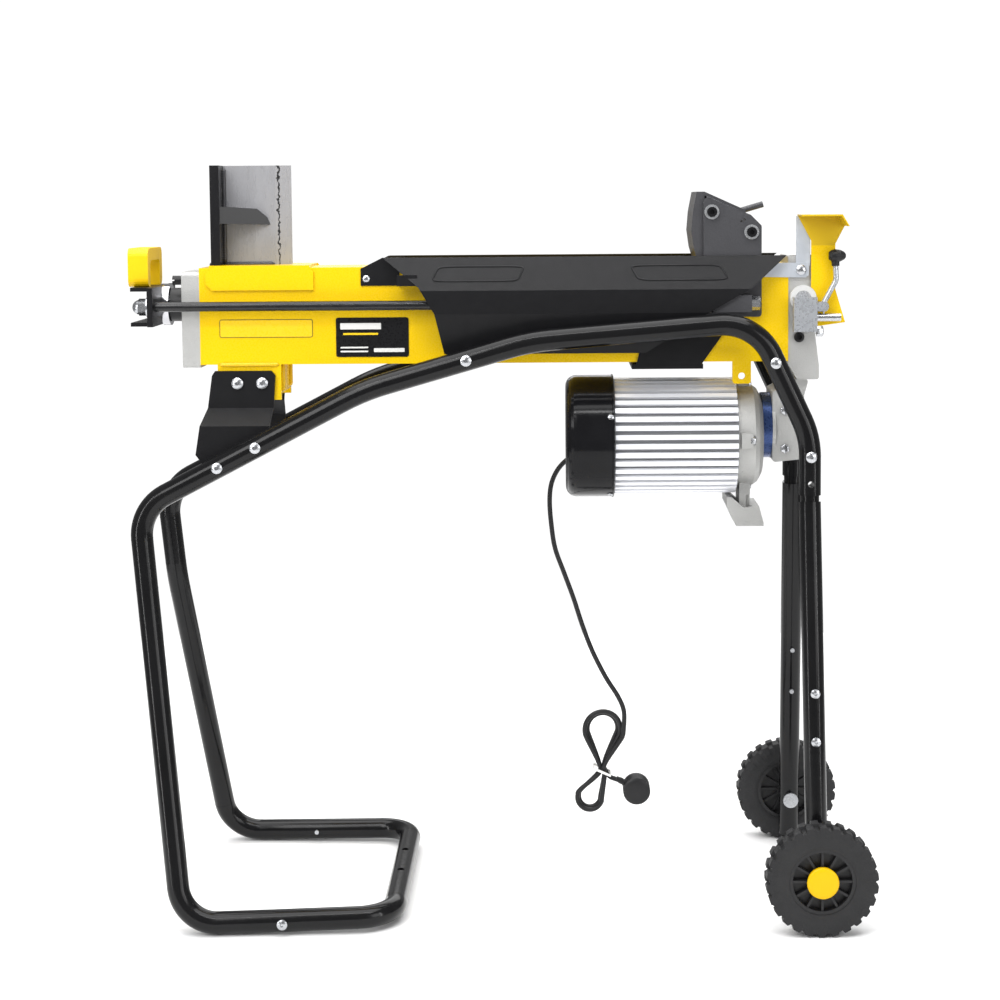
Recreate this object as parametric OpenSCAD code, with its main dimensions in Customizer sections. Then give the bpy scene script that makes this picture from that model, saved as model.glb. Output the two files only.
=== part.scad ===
// Horizontal log splitter on a tubular stand. X runs along the beam from the wedge to the
// valve, Y across it, Z up. The origin is on the floor, under the middle of the machine.

/* [Beam] */
// Width of the beam
beam_w = 96; // [84:1:104]
// Height of the beam's section
beam_h = 125; // [115:1:140]
// Height of the beam's top face above the floor
beam_top = 830; // [790:5:900]
// Wall of the beam's steel
beam_wall = 4; // [2.5:0.5:6]

/* [Splitting] */
// Longest log that fits between the wedge and the pusher
log_bay = 520; // [440:10:640]
// Travel of the pusher towards the wedge
stroke = 370; // [250:10:380]
// Height of the wedge above the beam
wedge_h = 132; // [100:1:160]
// Length of the wedge from its back plate to its edge
wedge_l = 100; // [84:1:112]
// Thickness of the wedge's blade
blade_t = 16; // [12:1:22]
// Diameter of the tie rods that pull the pusher
tie_d = 12.5; // [10:0.5:14]
// Sideways distance from the middle to each tie rod
tie_y = 62; // [60:0.5:63]
// Diameter of the piston rod
rod_d = 30; // [22:1:34]
// Bore of the hydraulic cylinder
bore_d = 50; // [44:1:54]
// Height of the pusher above the beam
pusher_h = 94; // [80:1:110]

/* [Stand] */
// Diameter of the stand's tube
tube_d = 28; // [24:1:30]
// Wall of the stand's tube
tube_wall = 2; // [1.5:0.5:3]
// Sideways distance from the middle to the front feet
foot_y = 184; // [150:2:200]
// Sideways distance from the middle to a rear leg at the axle
axle_leg_y = 149; // [140:1:165]

/* [Wheels] */
// Diameter of the tyre over its lugs
wheel_d = 140; // [116:2:160]
// Width of the tyre
wheel_w = 35; // [28:1:40]
// Diameter of the axle bolt
axle_d = 12; // [8:1:14]
// Number of tread lugs round the tyre
lug_count = 26; // [18:1:32]

/* [Motor] */
// Diameter of the motor's finned body
motor_d = 152; // [140:1:156]
// Length of the finned body
motor_l = 170; // [140:1:176]
// Depth of the motor's axis below the beam's top face
motor_drop = 226; // [222:1:232]
// Number of cooling fins round the body
fin_count = 40; // [24:2:48]
// Diameter of the motor shaft
shaft_d = 18; // [14:1:20]
// Teeth of each pump gear
gear_teeth = 12; // [12:1:12]

/* [Hidden] */
$fn = 64;

// Running clearance of a shaft in its hole, measured on the radius
run = 0.08;
// Free gap between bodies that pass each other
gap = 0.4;
yellow = [1, 0.92, 0];
black = [0.05, 0.05, 0.055];
cast = [0.8, 0.8, 0.78];
zinc = [0.85, 0.86, 0.88];

// Beam
beam_l = wedge_l + log_bay + 140;
beam_x0 = -beam_l / 2 - 6;
beam_x1 = beam_x0 + beam_l;
beam_z0 = beam_top - beam_h;
beam_y = beam_w / 2;
cap_t = 23;
ram_z = beam_top - 49;
motor_z = beam_top - motor_drop;

// Splitting
wedge_x0 = beam_x0 + 15;
wedge_plate_t = 12;
wedge_edge_x = wedge_x0 + wedge_l;
pusher_x = wedge_edge_x + log_bay;
gland_l = 21;
web_x = beam_x0 - cap_t - gland_l - 18;

// Round bar along X, Y or Z
module bar_x(x0, x1, d, y = 0, z = 0) { translate([x0, y, z]) rotate([0, 90, 0]) cylinder(h = x1 - x0, d = d); }
module bar_y(y0, y1, d, x = 0, z = 0) { translate([x, y1, z]) rotate([90, 0, 0]) cylinder(h = y1 - y0, d = d); }
module bar_z(z0, z1, d, x = 0, y = 0) { translate([x, y, z0]) cylinder(h = z1 - z0, d = d); }

// Box from its lowest to its highest corner
module block(a, b) { translate(a) cube(b - a); }

// Flat plate in the XZ plane, from y0 to y1, with the outline p
module plate_xz(p, y0, y1) { translate([0, y1, 0]) rotate([90, 0, 0]) linear_extrude(y1 - y0) polygon(p); }

// Flat plate in the YZ plane, from x0 to x1, with the outline p
module plate_yz(p, x0, x1) { translate([x0, 0, 0]) rotate([90, 0, 90]) linear_extrude(x1 - x0) polygon(p); }

// Points of an outline with its corners rounded to radius r by short arcs
function unit(v) = v / norm(v);
function round_corner(a, b, c, r, n = 5) =
    let(u = unit(a - b), v = unit(c - b), half = acos(u * v) / 2, t = r / tan(half),
        m = b + unit(u + v) * r / sin(half), s = b + u * t - m, e = b + v * t - m)
    [for (i = [0 : n]) m + r * unit(s * sin((1 - i / n) * (90 - half) * 2)
        + e * sin(i / n * (90 - half) * 2))];
function rounded(p, r) = [for (i = [0 : len(p) - 1])
    each round_corner(p[(i + len(p) - 1) % len(p)], p[i], p[(i + 1) % len(p)], r)];

// Stand tube: straight runs and true elbows along corner points q = [point, bend radius]
function corner_half(q, i) =
    acos(unit(q[i - 1][0] - q[i][0]) * unit(q[i + 1][0] - q[i][0])) / 2;
function corner_t(q, i) = (i == 0 || i == len(q) - 1) ? 0 : q[i][1] / tan(corner_half(q, i));
ridge = 0.3;
module aim(p, dir) {
    w = unit(dir);
    side = abs(w[2]) < 0.9 ? [0, 0, 1] : [0, 1, 0];
    u = unit(cross(side, w));
    v = cross(w, u);
    multmatrix([[u[0], v[0], w[0], p[0]], [u[1], v[1], w[1], p[1]], [u[2], v[2], w[2], p[2]]])
        children();
}
module run_solid(q, d) {
    for (i = [0 : len(q) - 2]) {
        w = unit(q[i + 1][0] - q[i][0]);
        start = q[i][0] + w * corner_t(q, i);
        aim(start, w) cylinder(h = norm(q[i + 1][0] - w * corner_t(q, i + 1) - start), d = d);
    }
    if (len(q) > 2) for (i = [1 : len(q) - 2]) {
        elbow(q[i - 1][0], q[i][0], q[i + 1][0], q[i][1], d);
        // A faint ridge, left by the bender, at each end of a bend
        for (k = [-1, 1]) {
            w = unit(q[i + k][0] - q[i][0]);
            aim(q[i][0] + w * (corner_t(q, i) - 0.6), w) cylinder(h = 1.2, d = d + ridge);
        }
    }
}
// Elbow between the runs a-b and b-c, bent to radius r
module elbow(a, b, c, r, d) {
    u = unit(a - b);
    v = unit(c - b);
    half = acos(u * v) / 2;
    centre = b + unit(u + v) * r / sin(half);
    x = unit(b + u * r / tan(half) - centre);
    z = unit(cross(x, -u));
    y = cross(z, x);
    multmatrix([[x[0], y[0], z[0], centre[0]], [x[1], y[1], z[1], centre[1]],
            [x[2], y[2], z[2], centre[2]]])
        rotate_extrude(angle = 180 - 2 * half) translate([r, 0]) circle(d = d);
}
module bent_tube(q, d = tube_d, wall = tube_wall) {
    difference() {
        run_solid(q, d);
        run_solid(stretched(q), d - 2 * wall);
    }
}
// The same route, 1 mm longer at both ends, for the bore of a tube
function stretched(q) = let(n = len(q) - 1) [for (i = [0 : n])
    i == 0 ? [q[0][0] + unit(q[0][0] - q[1][0]), 0]
    : i == n ? [q[n][0] + unit(q[n][0] - q[n - 1][0]), 0] : q[i]];

// Button-headed bolt along +Y from y0, its head on the low side when side is -1
module bolt_y(x, z, y0, y1, d, head, side = -1) {
    bar_y(y0, y1, d, x, z);
    head_y = side < 0 ? y0 : y1;
    translate([x, head_y, z]) rotate([-90 * side, 0, 0]) difference() {
        intersection() {
            cylinder(h = 0.32 * head, d = head);
            translate([0, 0, -0.55 * head]) sphere(r = 0.87 * head);
        }
        translate([0, 0, 0.14 * head]) cylinder(h = head, d = 0.36 * head, $fn = 6);
    }
}

// ---- Beam ----
module beam() {
    color(yellow) {
        difference() {
            block([beam_x0, -beam_y, beam_z0], [beam_x1, beam_y, beam_top]);
            block([beam_x0 - 1, -beam_y + beam_wall, beam_z0 + beam_wall],
                [beam_x1 + 1, beam_y - beam_wall, beam_top - beam_wall]);
            guard_screw_holes();
        }
    }
}

module front_end_cap() {
    color(cast) difference() {
        union() {
            plate_yz(rounded([[-beam_y, beam_z0 - 4], [beam_y, beam_z0 - 4], [beam_y, beam_top - 5],
                [-beam_y, beam_top - 5]], 5), beam_x0 - cap_t, beam_x0);
            bar_x(beam_x0, beam_x0 + 14, bore_d - 2 * run, 0, ram_z);
        }
        bar_x(beam_x0 - cap_t - 1, beam_x0 + 15, rod_d + 2 * run, 0, ram_z);
        bar_x(beam_x0 - cap_t - 1, beam_x0 - 3, bleed_d + 2 * run, bleed_y, bleed_z);
    }
}

// Hand screw that lets air out of the tank
bleed_d = 8;
bleed_y = -30;
bleed_z = beam_top - 16;
module bleed_screw() {
    color(black) difference() {
        union() {
            bar_x(beam_x0 - cap_t - 14, beam_x0 - cap_t - gap, 12, bleed_y, bleed_z);
            bar_x(beam_x0 - cap_t - gap - 1, beam_x0 - 6, bleed_d, bleed_y, bleed_z);
        }
        translate([beam_x0 - cap_t - 15, bleed_y - 7, bleed_z - 1]) cube([4, 14, 2]);
    }
}

// Two welded plates under the beam's wedge end, which the stand's brackets bolt to
lug_x0 = beam_x0 + 22;
lug_x1 = lug_x0 + 82;
lug_drop = 46;
bracket_t = 4;
bracket_bolts = [lug_x0 + 26, lug_x0 + 58];
bracket_bolt_z = beam_z0 - 24;
module front_lugs() {
    color(yellow) difference() {
        union() {
            for (s = [-1, 1]) block([lug_x0, s > 0 ? beam_y - 6 : -beam_y, beam_z0 - lug_drop],
                [lug_x1, s > 0 ? beam_y : -beam_y + 6, beam_z0]);
            block([lug_x1 - 4, -beam_y + 6, beam_z0 - lug_drop + 8], [lug_x1, beam_y - 6, beam_z0]);
        }
        for (x = bracket_bolts) bar_y(-beam_y - 1, beam_y + 1, 8.2, x, bracket_bolt_z);
    }
}

module side_plate() {
    color(black) for (s = [-1, 1]) plate_xz(rounded([[beam_x0 + 176, beam_z0 + 9],
        [beam_x0 + 270, beam_z0 + 9], [beam_x0 + 270, beam_z0 + 60], [beam_x0 + 176, beam_z0 + 60]], 3),
        s > 0 ? beam_y : -beam_y - 0.8, s > 0 ? beam_y + 0.8 : -beam_y);
}

// ---- Wedge ----
saddle_t = 3;
module wedge_saddle() {
    x0 = beam_x0 + 9;
    x1 = x0 + 139;
    z0 = beam_top - 29;
    color(yellow) difference() {
        union() {
            block([x0 + 4, -beam_y, beam_top], [x1 - 6, beam_y, beam_top + saddle_t]);
            for (s = [-1, 1]) plate_xz([[x0 + 8, z0], [x1, z0], [x1, beam_top - 5],
                [x1 - 6, beam_top + saddle_t], [x0 + 12, beam_top + saddle_t], [x0, beam_top - 8], [x0, z0 + 8]],
                s > 0 ? beam_y : -beam_y - saddle_t, s > 0 ? beam_y + saddle_t : -beam_y);
        }
    }
}
wedge_base = beam_top + saddle_t;
wedge_top = beam_top + wedge_h;
module wedge_back_plate() {
    color([0.45, 0.45, 0.48]) block([wedge_x0, -beam_y + 6, wedge_base],
        [wedge_x0 + wedge_plate_t, beam_y - 6, wedge_top]);
}
module wedge_blade() {
    bevel = 20;
    color([0.5, 0.5, 0.53]) translate([0, 0, wedge_base]) linear_extrude(wedge_top - wedge_base)
        polygon([[wedge_x0 + wedge_plate_t, -blade_t / 2], [wedge_edge_x - bevel, -blade_t / 2],
            [wedge_edge_x, -1], [wedge_edge_x, 1], [wedge_edge_x - bevel, blade_t / 2],
            [wedge_x0 + wedge_plate_t, blade_t / 2]]);
    wedge_wings();
}
module wedge_wings() {
    x0 = wedge_x0 + wedge_plate_t;
    z0 = beam_top + 57;
    color(black) for (s = [-1, 1]) intersection() {
        plate_xz([[x0, z0], [x0 + 61, z0 - 2], [x0 + 57, z0 + 8], [x0 + 44, z0 + 19], [x0, z0 + 22]],
            -beam_y, beam_y);
        translate([0, 0, z0 - 5]) linear_extrude(40)
            polygon([[x0, s * blade_t / 2], [x0 + 62, s * blade_t / 2], [x0, s * (beam_y - 10)]]);
    }
}

// ---- Guards over the tie rods ----
guard_t = 1.6;
guard_x0 = pusher_x - stroke - 40;
guard_x1 = beam_x1 + 24;
fold_y = [beam_y + 9, beam_y + 29, beam_y + 29, beam_y + 17];
fold_z = [beam_top + 12, beam_top - 30, beam_top - 60, beam_top - 112];
function guard_band(t) = concat([for (i = [0 : 3]) [fold_y[i], fold_z[i]]],
    [for (i = [3 : -1 : 0]) [fold_y[i] - t, fold_z[i]]]);
module guard(s) {
    mirror([0, s > 0 ? 0 : 1, 0]) {
        // Folded sheet, trimmed to its slanted ends
        intersection() {
            plate_yz(guard_band(guard_t), guard_x0 + 10, guard_x1 - 9);
            plate_xz([[guard_x0 + 12, fold_z[0] + 1], [guard_x0 + 60, fold_z[1] + 4],
                [guard_x0 + 80, fold_z[2]], [guard_x0 + 92, fold_z[3] - 1],
                [guard_x1 - 210, fold_z[3] - 1], [guard_x1 - 128, fold_z[2]],
                [guard_x1 - 72, fold_z[1] + 2], [guard_x1 - 26, fold_z[0] + 1]], 0, fold_y[1] + 1);
        }
        // End tab, screwed to the beam's side and bent out to the sheet
        z0 = beam_top - 24;
        plate_xz([[guard_x0 - 16, z0], [guard_x0 + 34, z0], [guard_x0 + 34, beam_top + 12],
            [guard_x0 + 12, beam_top + 12], [guard_x0 - 16, beam_top - 2]], beam_y, beam_y + guard_t);
        block([guard_x0 + 32, beam_y, z0], [guard_x0 + 34, fold_y[1] - 7.4, z0 + 14]);
        block([guard_x0 + 32, fold_y[1] - 9, z0], [guard_x0 + 58, fold_y[1] - 7.4, z0 + 14]);
    }
}
screw_d = 5;
module guard_screw_holes() {
    bar_y(-beam_y - 9, beam_y + 9, screw_d + 2 * run, guard_x0 - 9, beam_top - 15);
}
module guards() {
    color(black) difference() {
        for (s = [-1, 1]) guard(s);
        guard_screw_holes();
    }
}
module guard_fasteners() {
    color(zinc) for (s = [-1, 1])
        bolt_y(guard_x0 - 9, beam_top - 15, s > 0 ? beam_y - beam_wall : -beam_y - guard_t,
            s > 0 ? beam_y + guard_t : -beam_y + beam_wall, screw_d, 9, s);
}

// Pressed steel saddle that hugs the beam from below near the valve end
saddle_x = beam_x1 - 64;
module beam_saddle() {
    t = 3;
    color(black) {
        for (s = [-1, 1]) plate_xz([[saddle_x - 132, beam_z0 - t], [saddle_x - 48, beam_z0 - t],
            [saddle_x - 6, ram_z - 20], [saddle_x - 118, ram_z - 20]],
            s > 0 ? beam_y : -beam_y - t, s > 0 ? beam_y + t : -beam_y);
        block([saddle_x - 138, -beam_y - t, beam_z0 - t - 6], [saddle_x - 46, beam_y + t, beam_z0 - t]);
        block([saddle_x - 132, -beam_y, beam_z0 - t], [saddle_x - 48, beam_y, beam_z0]);
    }
}

// ---- Hydraulics in and behind the beam ----
valve_t = 36;
valve_x1 = beam_x1 + valve_t;
cyl_wall = 4;
module cylinder_tube() {
    color([0.6, 0.6, 0.62]) difference() {
        bar_x(beam_x0 + 0.2, beam_x1 - 0.2, bore_d + 2 * cyl_wall, 0, ram_z);
        bar_x(beam_x0 - 1, beam_x1 + 1, bore_d, 0, ram_z);
    }
}

module rod_gland() {
    color(black) difference() {
        bar_x(beam_x0 - cap_t - gland_l, beam_x0 - cap_t, rod_d + 14, 0, ram_z);
        bar_x(beam_x0 - cap_t - gland_l - 1, beam_x0 - cap_t + 1, rod_d + 2 * run, 0, ram_z);
    }
}

spool_y = -beam_y - 11;
spool_z = beam_top - 68;
spool_d = 10;
valve_z0 = beam_z0 - 24;
valve_top = beam_top + 12;
strap_bolt = [beam_x1 + 16, beam_top - 7];
module valve_block() {
    color(cast) difference() {
        union() {
            plate_xz(rounded([[beam_x1, valve_z0 + 20], [beam_x1 + 12, valve_z0], [valve_x1 + 4, valve_z0],
                [valve_x1 + 4, beam_z0 - 6], [valve_x1 - 2, beam_z0 + 42], [valve_x1 - 2, valve_top],
                [beam_x1, valve_top]], 3), -beam_y + 2, beam_y - 2);
            bar_x(beam_x1 - 12, beam_x1 + 1, bore_d - 2 * run, 0, ram_z);
            bar_x(valve_x1 - 3, valve_x1 + 6, 34, 0, ram_z);
        }
        for (s = [-1, 1]) bar_y(s > 0 ? beam_y - 21 : -beam_y, s > 0 ? beam_y : -beam_y + 21,
            bolt_d + 2 * run, strap_bolt[0], strap_bolt[1]);
        bar_x(beam_x1 - 13, beam_x1 + 20, 10, 0, ram_z);
        bar_z(valve_z0 - 10, ram_z, 8, beam_x1 + 18, 0);
    }
}

ring_d = 34;
ring_at = [beam_x1 + 19, beam_top - 44];
module valve_fitting() {
    color([0.93, 0.93, 0.93]) difference() {
        bar_y(-beam_y - 3, -beam_y + 2, ring_d, ring_at[0], ring_at[1]);
        bar_y(-beam_y - 4, -beam_y + 3, ring_d - 14, ring_at[0], ring_at[1]);
    }
    color(zinc) bar_y(-beam_y - 5, -beam_y + 2, ring_d - 14 - 2 * run, ring_at[0], ring_at[1]);
}

// Galvanised straps: one on each side from beam to valve, and the upright of the lever guard
strap_t = 2.5;
module valve_straps() {
    color([0.7, 0.7, 0.72]) {
        for (s = [-1, 1]) difference() {
            plate_xz([[beam_x1 - 34, beam_top - 16], [beam_x1 - 20, beam_top + 2], [beam_x1 + 23, beam_top + 2],
                [beam_x1 + 26, beam_top - 2], [beam_x1 + 26, beam_top - 14], [beam_x1 + 22, beam_top - 17]],
                s > 0 ? beam_y : -beam_y - strap_t, s > 0 ? beam_y + strap_t : -beam_y);
            bar_y(-beam_y - 9, beam_y + 9, bolt_d + 2 * run, strap_bolt[0], strap_bolt[1]);
        }
        block([beam_x1 + 10, -beam_y, beam_top - 2], [beam_x1 + 28, -beam_y + 2, beam_top + 62]);
    }
}

// ---- Control lever ----
box_x0 = beam_x1 + 5;
box_x1 = box_x0 + 30;
box_y0 = -beam_y - 20;
pivot_x = box_x1 + 9;
pivot_z = spool_z + 14;
pin_d = 6;
ear_t = 2.5;
lever_w = 8;
module lever_bracket() {
    color([0.72, 0.76, 0.8]) difference() {
        union() {
            block([box_x0, box_y0, spool_z - 18], [box_x1, -beam_y - 6, spool_z + 26]);
            block([box_x0 + 2, -beam_y - 7, spool_z - 7], [box_x1 - 7, -beam_y + 2, spool_z + 4]);
            for (y = [spool_y - lever_w / 2 - ear_t - gap, spool_y + lever_w / 2 + gap])
                plate_xz(rounded([[box_x1 - 1, pivot_z - 6], [pivot_x + 5, pivot_z - 6],
                    [pivot_x + 5, pivot_z + 6], [box_x1 - 1, pivot_z + 6]], 4.5), y, y + ear_t);
            bar_y(spool_y - lever_w / 2 - ear_t - 2, spool_y + lever_w / 2 + ear_t + 2, pin_d, pivot_x, pivot_z);
        }
        bar_x(box_x0 + 4, box_x1 + 1, spool_d + 2 * run, spool_y, spool_z);
    }
}

roller_r = 2.5;
lever_top_z = beam_top - 2;
module control_lever() {
    route = [[[pivot_x, spool_y, pivot_z + 4], 0], [[pivot_x + 16, spool_y, pivot_z + 34], 14],
        [[pivot_x + 15, spool_y, lever_top_z], 0]];
    color([0.55, 0.55, 0.57]) difference() {
        union() {
            run_solid(route, lever_w - 1);
            bar_y(spool_y - lever_w / 2, spool_y + lever_w / 2, pin_d + 7, pivot_x, pivot_z);
            bar_z(spool_z, pivot_z - 4, 2.5, pivot_x, spool_y);
            bar_y(spool_y - roller_r, spool_y + roller_r, 2 * roller_r, pivot_x, spool_z);
        }
        bar_y(spool_y - lever_w, spool_y + lever_w, pin_d + 2 * run, pivot_x, pivot_z);
    }
}
module lever_knob() {
    color(black) translate([pivot_x + 13, spool_y, lever_top_z + 13]) rotate([0, 90, 0])
        rotate_extrude() polygon([[0, -7], [5, -6.5], [7.6, -3], [8.4, 2], [7.6, 8], [5, 13], [2.5, 15],
            [0, 15.4]]);
    color(black) bar_z(lever_top_z, lever_top_z + 9, 10, pivot_x + 15, spool_y);
}
// Plunger under the lever, slotted for the roller on the lever's short arm
module valve_spool() {
    slot = roller_r + 0.6;
    color(zinc) difference() {
        bar_x(box_x0 + 12, pivot_x + 22, spool_d, spool_y, spool_z);
        block([pivot_x - slot, spool_y - slot, spool_z - slot],
            [pivot_x + slot, spool_y + slot, spool_z + spool_d]);
    }
}

module lever_guard() {
    t = 2;
    x0 = beam_x1 + 29;
    top = beam_top + 64;
    y1 = -beam_y;
    color(yellow) difference() {
        plate_xz([[x0, beam_top - 42], [x0 + 8, beam_top - 80], [x0 + 44, beam_top - 75],
            [x0 + 31, beam_top - 32], [x0 + 31, beam_top + 26], [x0 + 43, beam_top + 49], [x0 + 34, top], [x0 - 18, top],
            [x0, beam_top + 30]], y1 - t, y1);
        bar_y(y1 - 9, y1 + 9, ring_d + 2 * gap, ring_at[0], ring_at[1]);
    }
    color(yellow) plate_xz([[x0 - 18, top - t], [x0 + 33, top - t], [x0 + 41.5, beam_top + 49],
        [x0 + 43, beam_top + 49], [x0 + 34, top], [x0 - 18, top]], y1 - 46, y1 - t);
}

// ---- Pump ----
ring_x0 = beam_x1 - 31;
ring_t = 12;
pump_x0 = ring_x0 + ring_t;
pump_x1 = valve_x1 - 16;
gear_c = 26;
pump_z = motor_z + gear_c / 2;
gear_m = gear_c / gear_teeth;
gear_x0 = pump_x0 + 8;
gear_w = 14;
gear_r = gear_c / 2 + 0.85 * gear_m;
module pump_housing() {
    color(cast) difference() {
        union() {
            plate_xz(rounded([[pump_x0, motor_z - 32], [pump_x1, motor_z - 28], [pump_x1 + 2, beam_z0 - 46],
                [valve_x1 - 8, valve_z0], [beam_x1 + 13, valve_z0], [pump_x0, motor_z + 60]], 4), -38, 38);
            bar_x(pump_x0, pump_x0 + 4, 87, 0, pump_z);
        }
        for (z = [motor_z, motor_z + gear_c]) {
            bar_x(gear_x0 - gap, gear_x0 + gear_w + gap, 2 * gear_r + 2 * gap, 0, z);
            bar_x(pump_x0 - 1, pump_x1 - 8, shaft_d - 6 + 2 * run, 0, z);
        }
        bar_x(pump_x0 - 1, gear_x0, shaft_d + 2 * run, 0, motor_z);
    }
}
module pump_ring() {
    color([0.1, 0.16, 0.42]) difference() {
        bar_x(ring_x0, pump_x0, 86, 0, pump_z);
        bar_x(ring_x0 - 1, pump_x0 + 1, shaft_d + 2 * run, 0, motor_z);
    }
}
// Gear on the X axis with straight-sided teeth, turned by part of a pitch
module gear(x0, z, turn) {
    pitch = 360 / gear_teeth;
    root = gear_c / 2 - 1.05 * gear_m;
    translate([x0, 0, z]) rotate([90, 0, 90]) linear_extrude(gear_w) union() {
        circle(r = root + 0.05);
        for (i = [0 : gear_teeth - 1]) rotate(90 + turn + i * pitch)
            polygon([[root - 1, -1.9], [root, -1.9], [gear_c / 2, -1.45], [gear_r, -0.7],
                [gear_r, 0.7], [gear_c / 2, 1.45], [root, 1.9], [root - 1, 1.9]]);
    }
}

// ---- Motor ----
shield_x0 = ring_x0 - 34;
body_x0 = shield_x0 - motor_l + 2;
cover_x1 = body_x0 + 8;
cover_d = motor_d + 8;
fin_t = 6.4;
cover_l = 63;
cover_x0 = cover_x1 - cover_l;
module motor_body() {
    color(cast) difference() {
        union() {
            bar_x(body_x0, shield_x0, motor_d - 10, 0, motor_z);
            for (i = [0 : fin_count - 1]) translate([0, 0, motor_z]) rotate([360 * (i + 0.5) / fin_count, 0, 0])
                block([cover_x1 + 1, -fin_t / 2, motor_d / 2 - 8], [shield_x0 - 1, fin_t / 2, motor_d / 2]);
        }
        bar_x(body_x0 + 24, shield_x0 + 1, motor_d - 20, 0, motor_z);
        bar_x(body_x0 + 5, body_x0 + 25, bearing_d, 0, motor_z);
        bar_x(body_x0 - 1, body_x0 + 6, bearing_d - 10, 0, motor_z);
    }
}
module stator() {
    color([0.5, 0.35, 0.2]) difference() {
        bar_x(body_x0 + 28, shield_x0 - 26, motor_d - 20, 0, motor_z);
        bar_x(body_x0 + 27, shield_x0 - 25, 76, 0, motor_z);
    }
}
bearing_d = 40;
bearing_w = 12;
module bearings() {
    color(zinc) for (x0 = [body_x0 + 9, shield_x0 + 12]) difference() {
        bar_x(x0, x0 + bearing_w, bearing_d - 0.1, 0, motor_z);
        bar_x(x0 - 1, x0 + bearing_w + 1, shaft_d + 2 * run, 0, motor_z);
    }
}
// Cast end shield with its foot and a pad for one clamp bolt
foot_x0 = shield_x0 - 13;
foot_x1 = shield_x0 + 35;
foot_z0 = motor_z - 116;
module motor_shield() {
    color(cast) difference() {
        union() {
            translate([shield_x0, 0, motor_z]) rotate([0, 90, 0]) rotate_extrude()
                polygon([[0, 0], [66, 0], [66, 22], [62, 28], [52, 33.5], [0, 33.5]]);
            for (a = [0 : 90 : 270]) translate([0, 0, motor_z]) rotate([a, 0, 0])
                block([shield_x0 + 3, 61, -10], [shield_x0 + 18, 71, 10]);
            block([shield_x0 + 4, -26, motor_z - 92], [shield_x0 + 18, 26, motor_z - 40]);
            plate_xz([[foot_x0, foot_z0 + 38], [foot_x0 + 6, foot_z0 + 38], [foot_x0 + 22, foot_z0 + 24],
                [foot_x1 - 6, foot_z0 + 26], [foot_x1, foot_z0 + 4], [foot_x1, foot_z0],
                [foot_x0 + 12, foot_z0], [foot_x0, foot_z0 + 26]], -36, 36);
        }
        bar_x(shield_x0 + 7, shield_x0 + 12 + bearing_w, bearing_d, 0, motor_z);
        bar_x(shield_x0 - 1, shield_x0 + 40, shaft_d + 2, 0, motor_z);
        bar_x(shield_x0 - 1, shield_x0 + 8, bearing_d + 40, 0, motor_z);
        for (s = [-1, 1]) bar_z(foot_z0 - 1, foot_z0 + 40, 8.5, foot_x0 + 30, s * 26);
    }
}
module fan_cover() {
    t = 2.5;
    color(black) difference() {
        translate([cover_x0, 0, motor_z]) rotate([0, 90, 0]) rotate_extrude() difference() {
            polygon(concat([[0, 0]], [for (a = [0 : 15 : 90])
                [cover_d / 2 - 14 + 14 * sin(a), 14 - 14 * cos(a)]], [[cover_d / 2, cover_l], [0, cover_l]]));
            polygon(concat([[0, t]], [for (a = [0 : 15 : 90])
                [cover_d / 2 - 14 + (14 - t) * sin(a), 14 - (14 - t) * cos(a)]],
                [[cover_d / 2 - t, cover_l + 1], [0, cover_l + 1]]));
        }
        for (k = [-3 : 3]) block([cover_x0 - 1, -sqrt(62 * 62 - 289 * k * k), motor_z + 17 * k - 2.5],
            [cover_x0 + t + 1, sqrt(62 * 62 - 289 * k * k), motor_z + 17 * k + 2.5]);
        for (a = cover_screw_at) translate([cover_x1 - 5, 0, motor_z]) rotate([a, 0, 0])
            bar_y(motor_d / 2 - 9, cover_d, 4 + 2 * run);
    }
}
cover_screw_at = [-24, 66, 156, 246];
module cover_screws() {
    color(zinc) for (a = cover_screw_at) translate([cover_x1 - 5, 0, motor_z]) rotate([a, 0, 0])
        bolt_y(0, 0, motor_d / 2 - 4, cover_d / 2, 4, 8, 1);
}
module rotor() {
    color([0.55, 0.55, 0.58]) {
        bar_x(body_x0 + 38, shield_x0 - 34, 75, 0, motor_z);
        bar_x(cover_x0 + 16, body_x0 + 38, shaft_d, 0, motor_z);
        bar_x(shield_x0 - 34, gear_x0 - 1, shaft_d, 0, motor_z);
        bar_x(gear_x0 - 1, pump_x1 - 10, shaft_d - 6, 0, motor_z);
        gear(gear_x0, motor_z, 0);
    }
}
module fan() {
    color(black) difference() {
        union() {
            bar_x(cover_x0 + 22, cover_x0 + 44, 34, 0, motor_z);
            bar_x(cover_x0 + 40, cover_x0 + 42, 136, 0, motor_z);
            for (i = [0 : 8]) translate([0, 0, motor_z]) rotate([i * 40, 0, 0])
                block([cover_x0 + 22, -1.25, 14], [cover_x0 + 41, 1.25, 68]);
        }
        bar_x(cover_x0 + 20, cover_x0 + 46, shaft_d, 0, motor_z);
    }
}
module driven_gear() {
    color([0.6, 0.6, 0.62]) {
        gear(gear_x0, motor_z + gear_c, 180 / gear_teeth);
        bar_x(pump_x0 + 1, pump_x1 - 10, shaft_d - 6, 0, motor_z + gear_c);
    }
}
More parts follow.
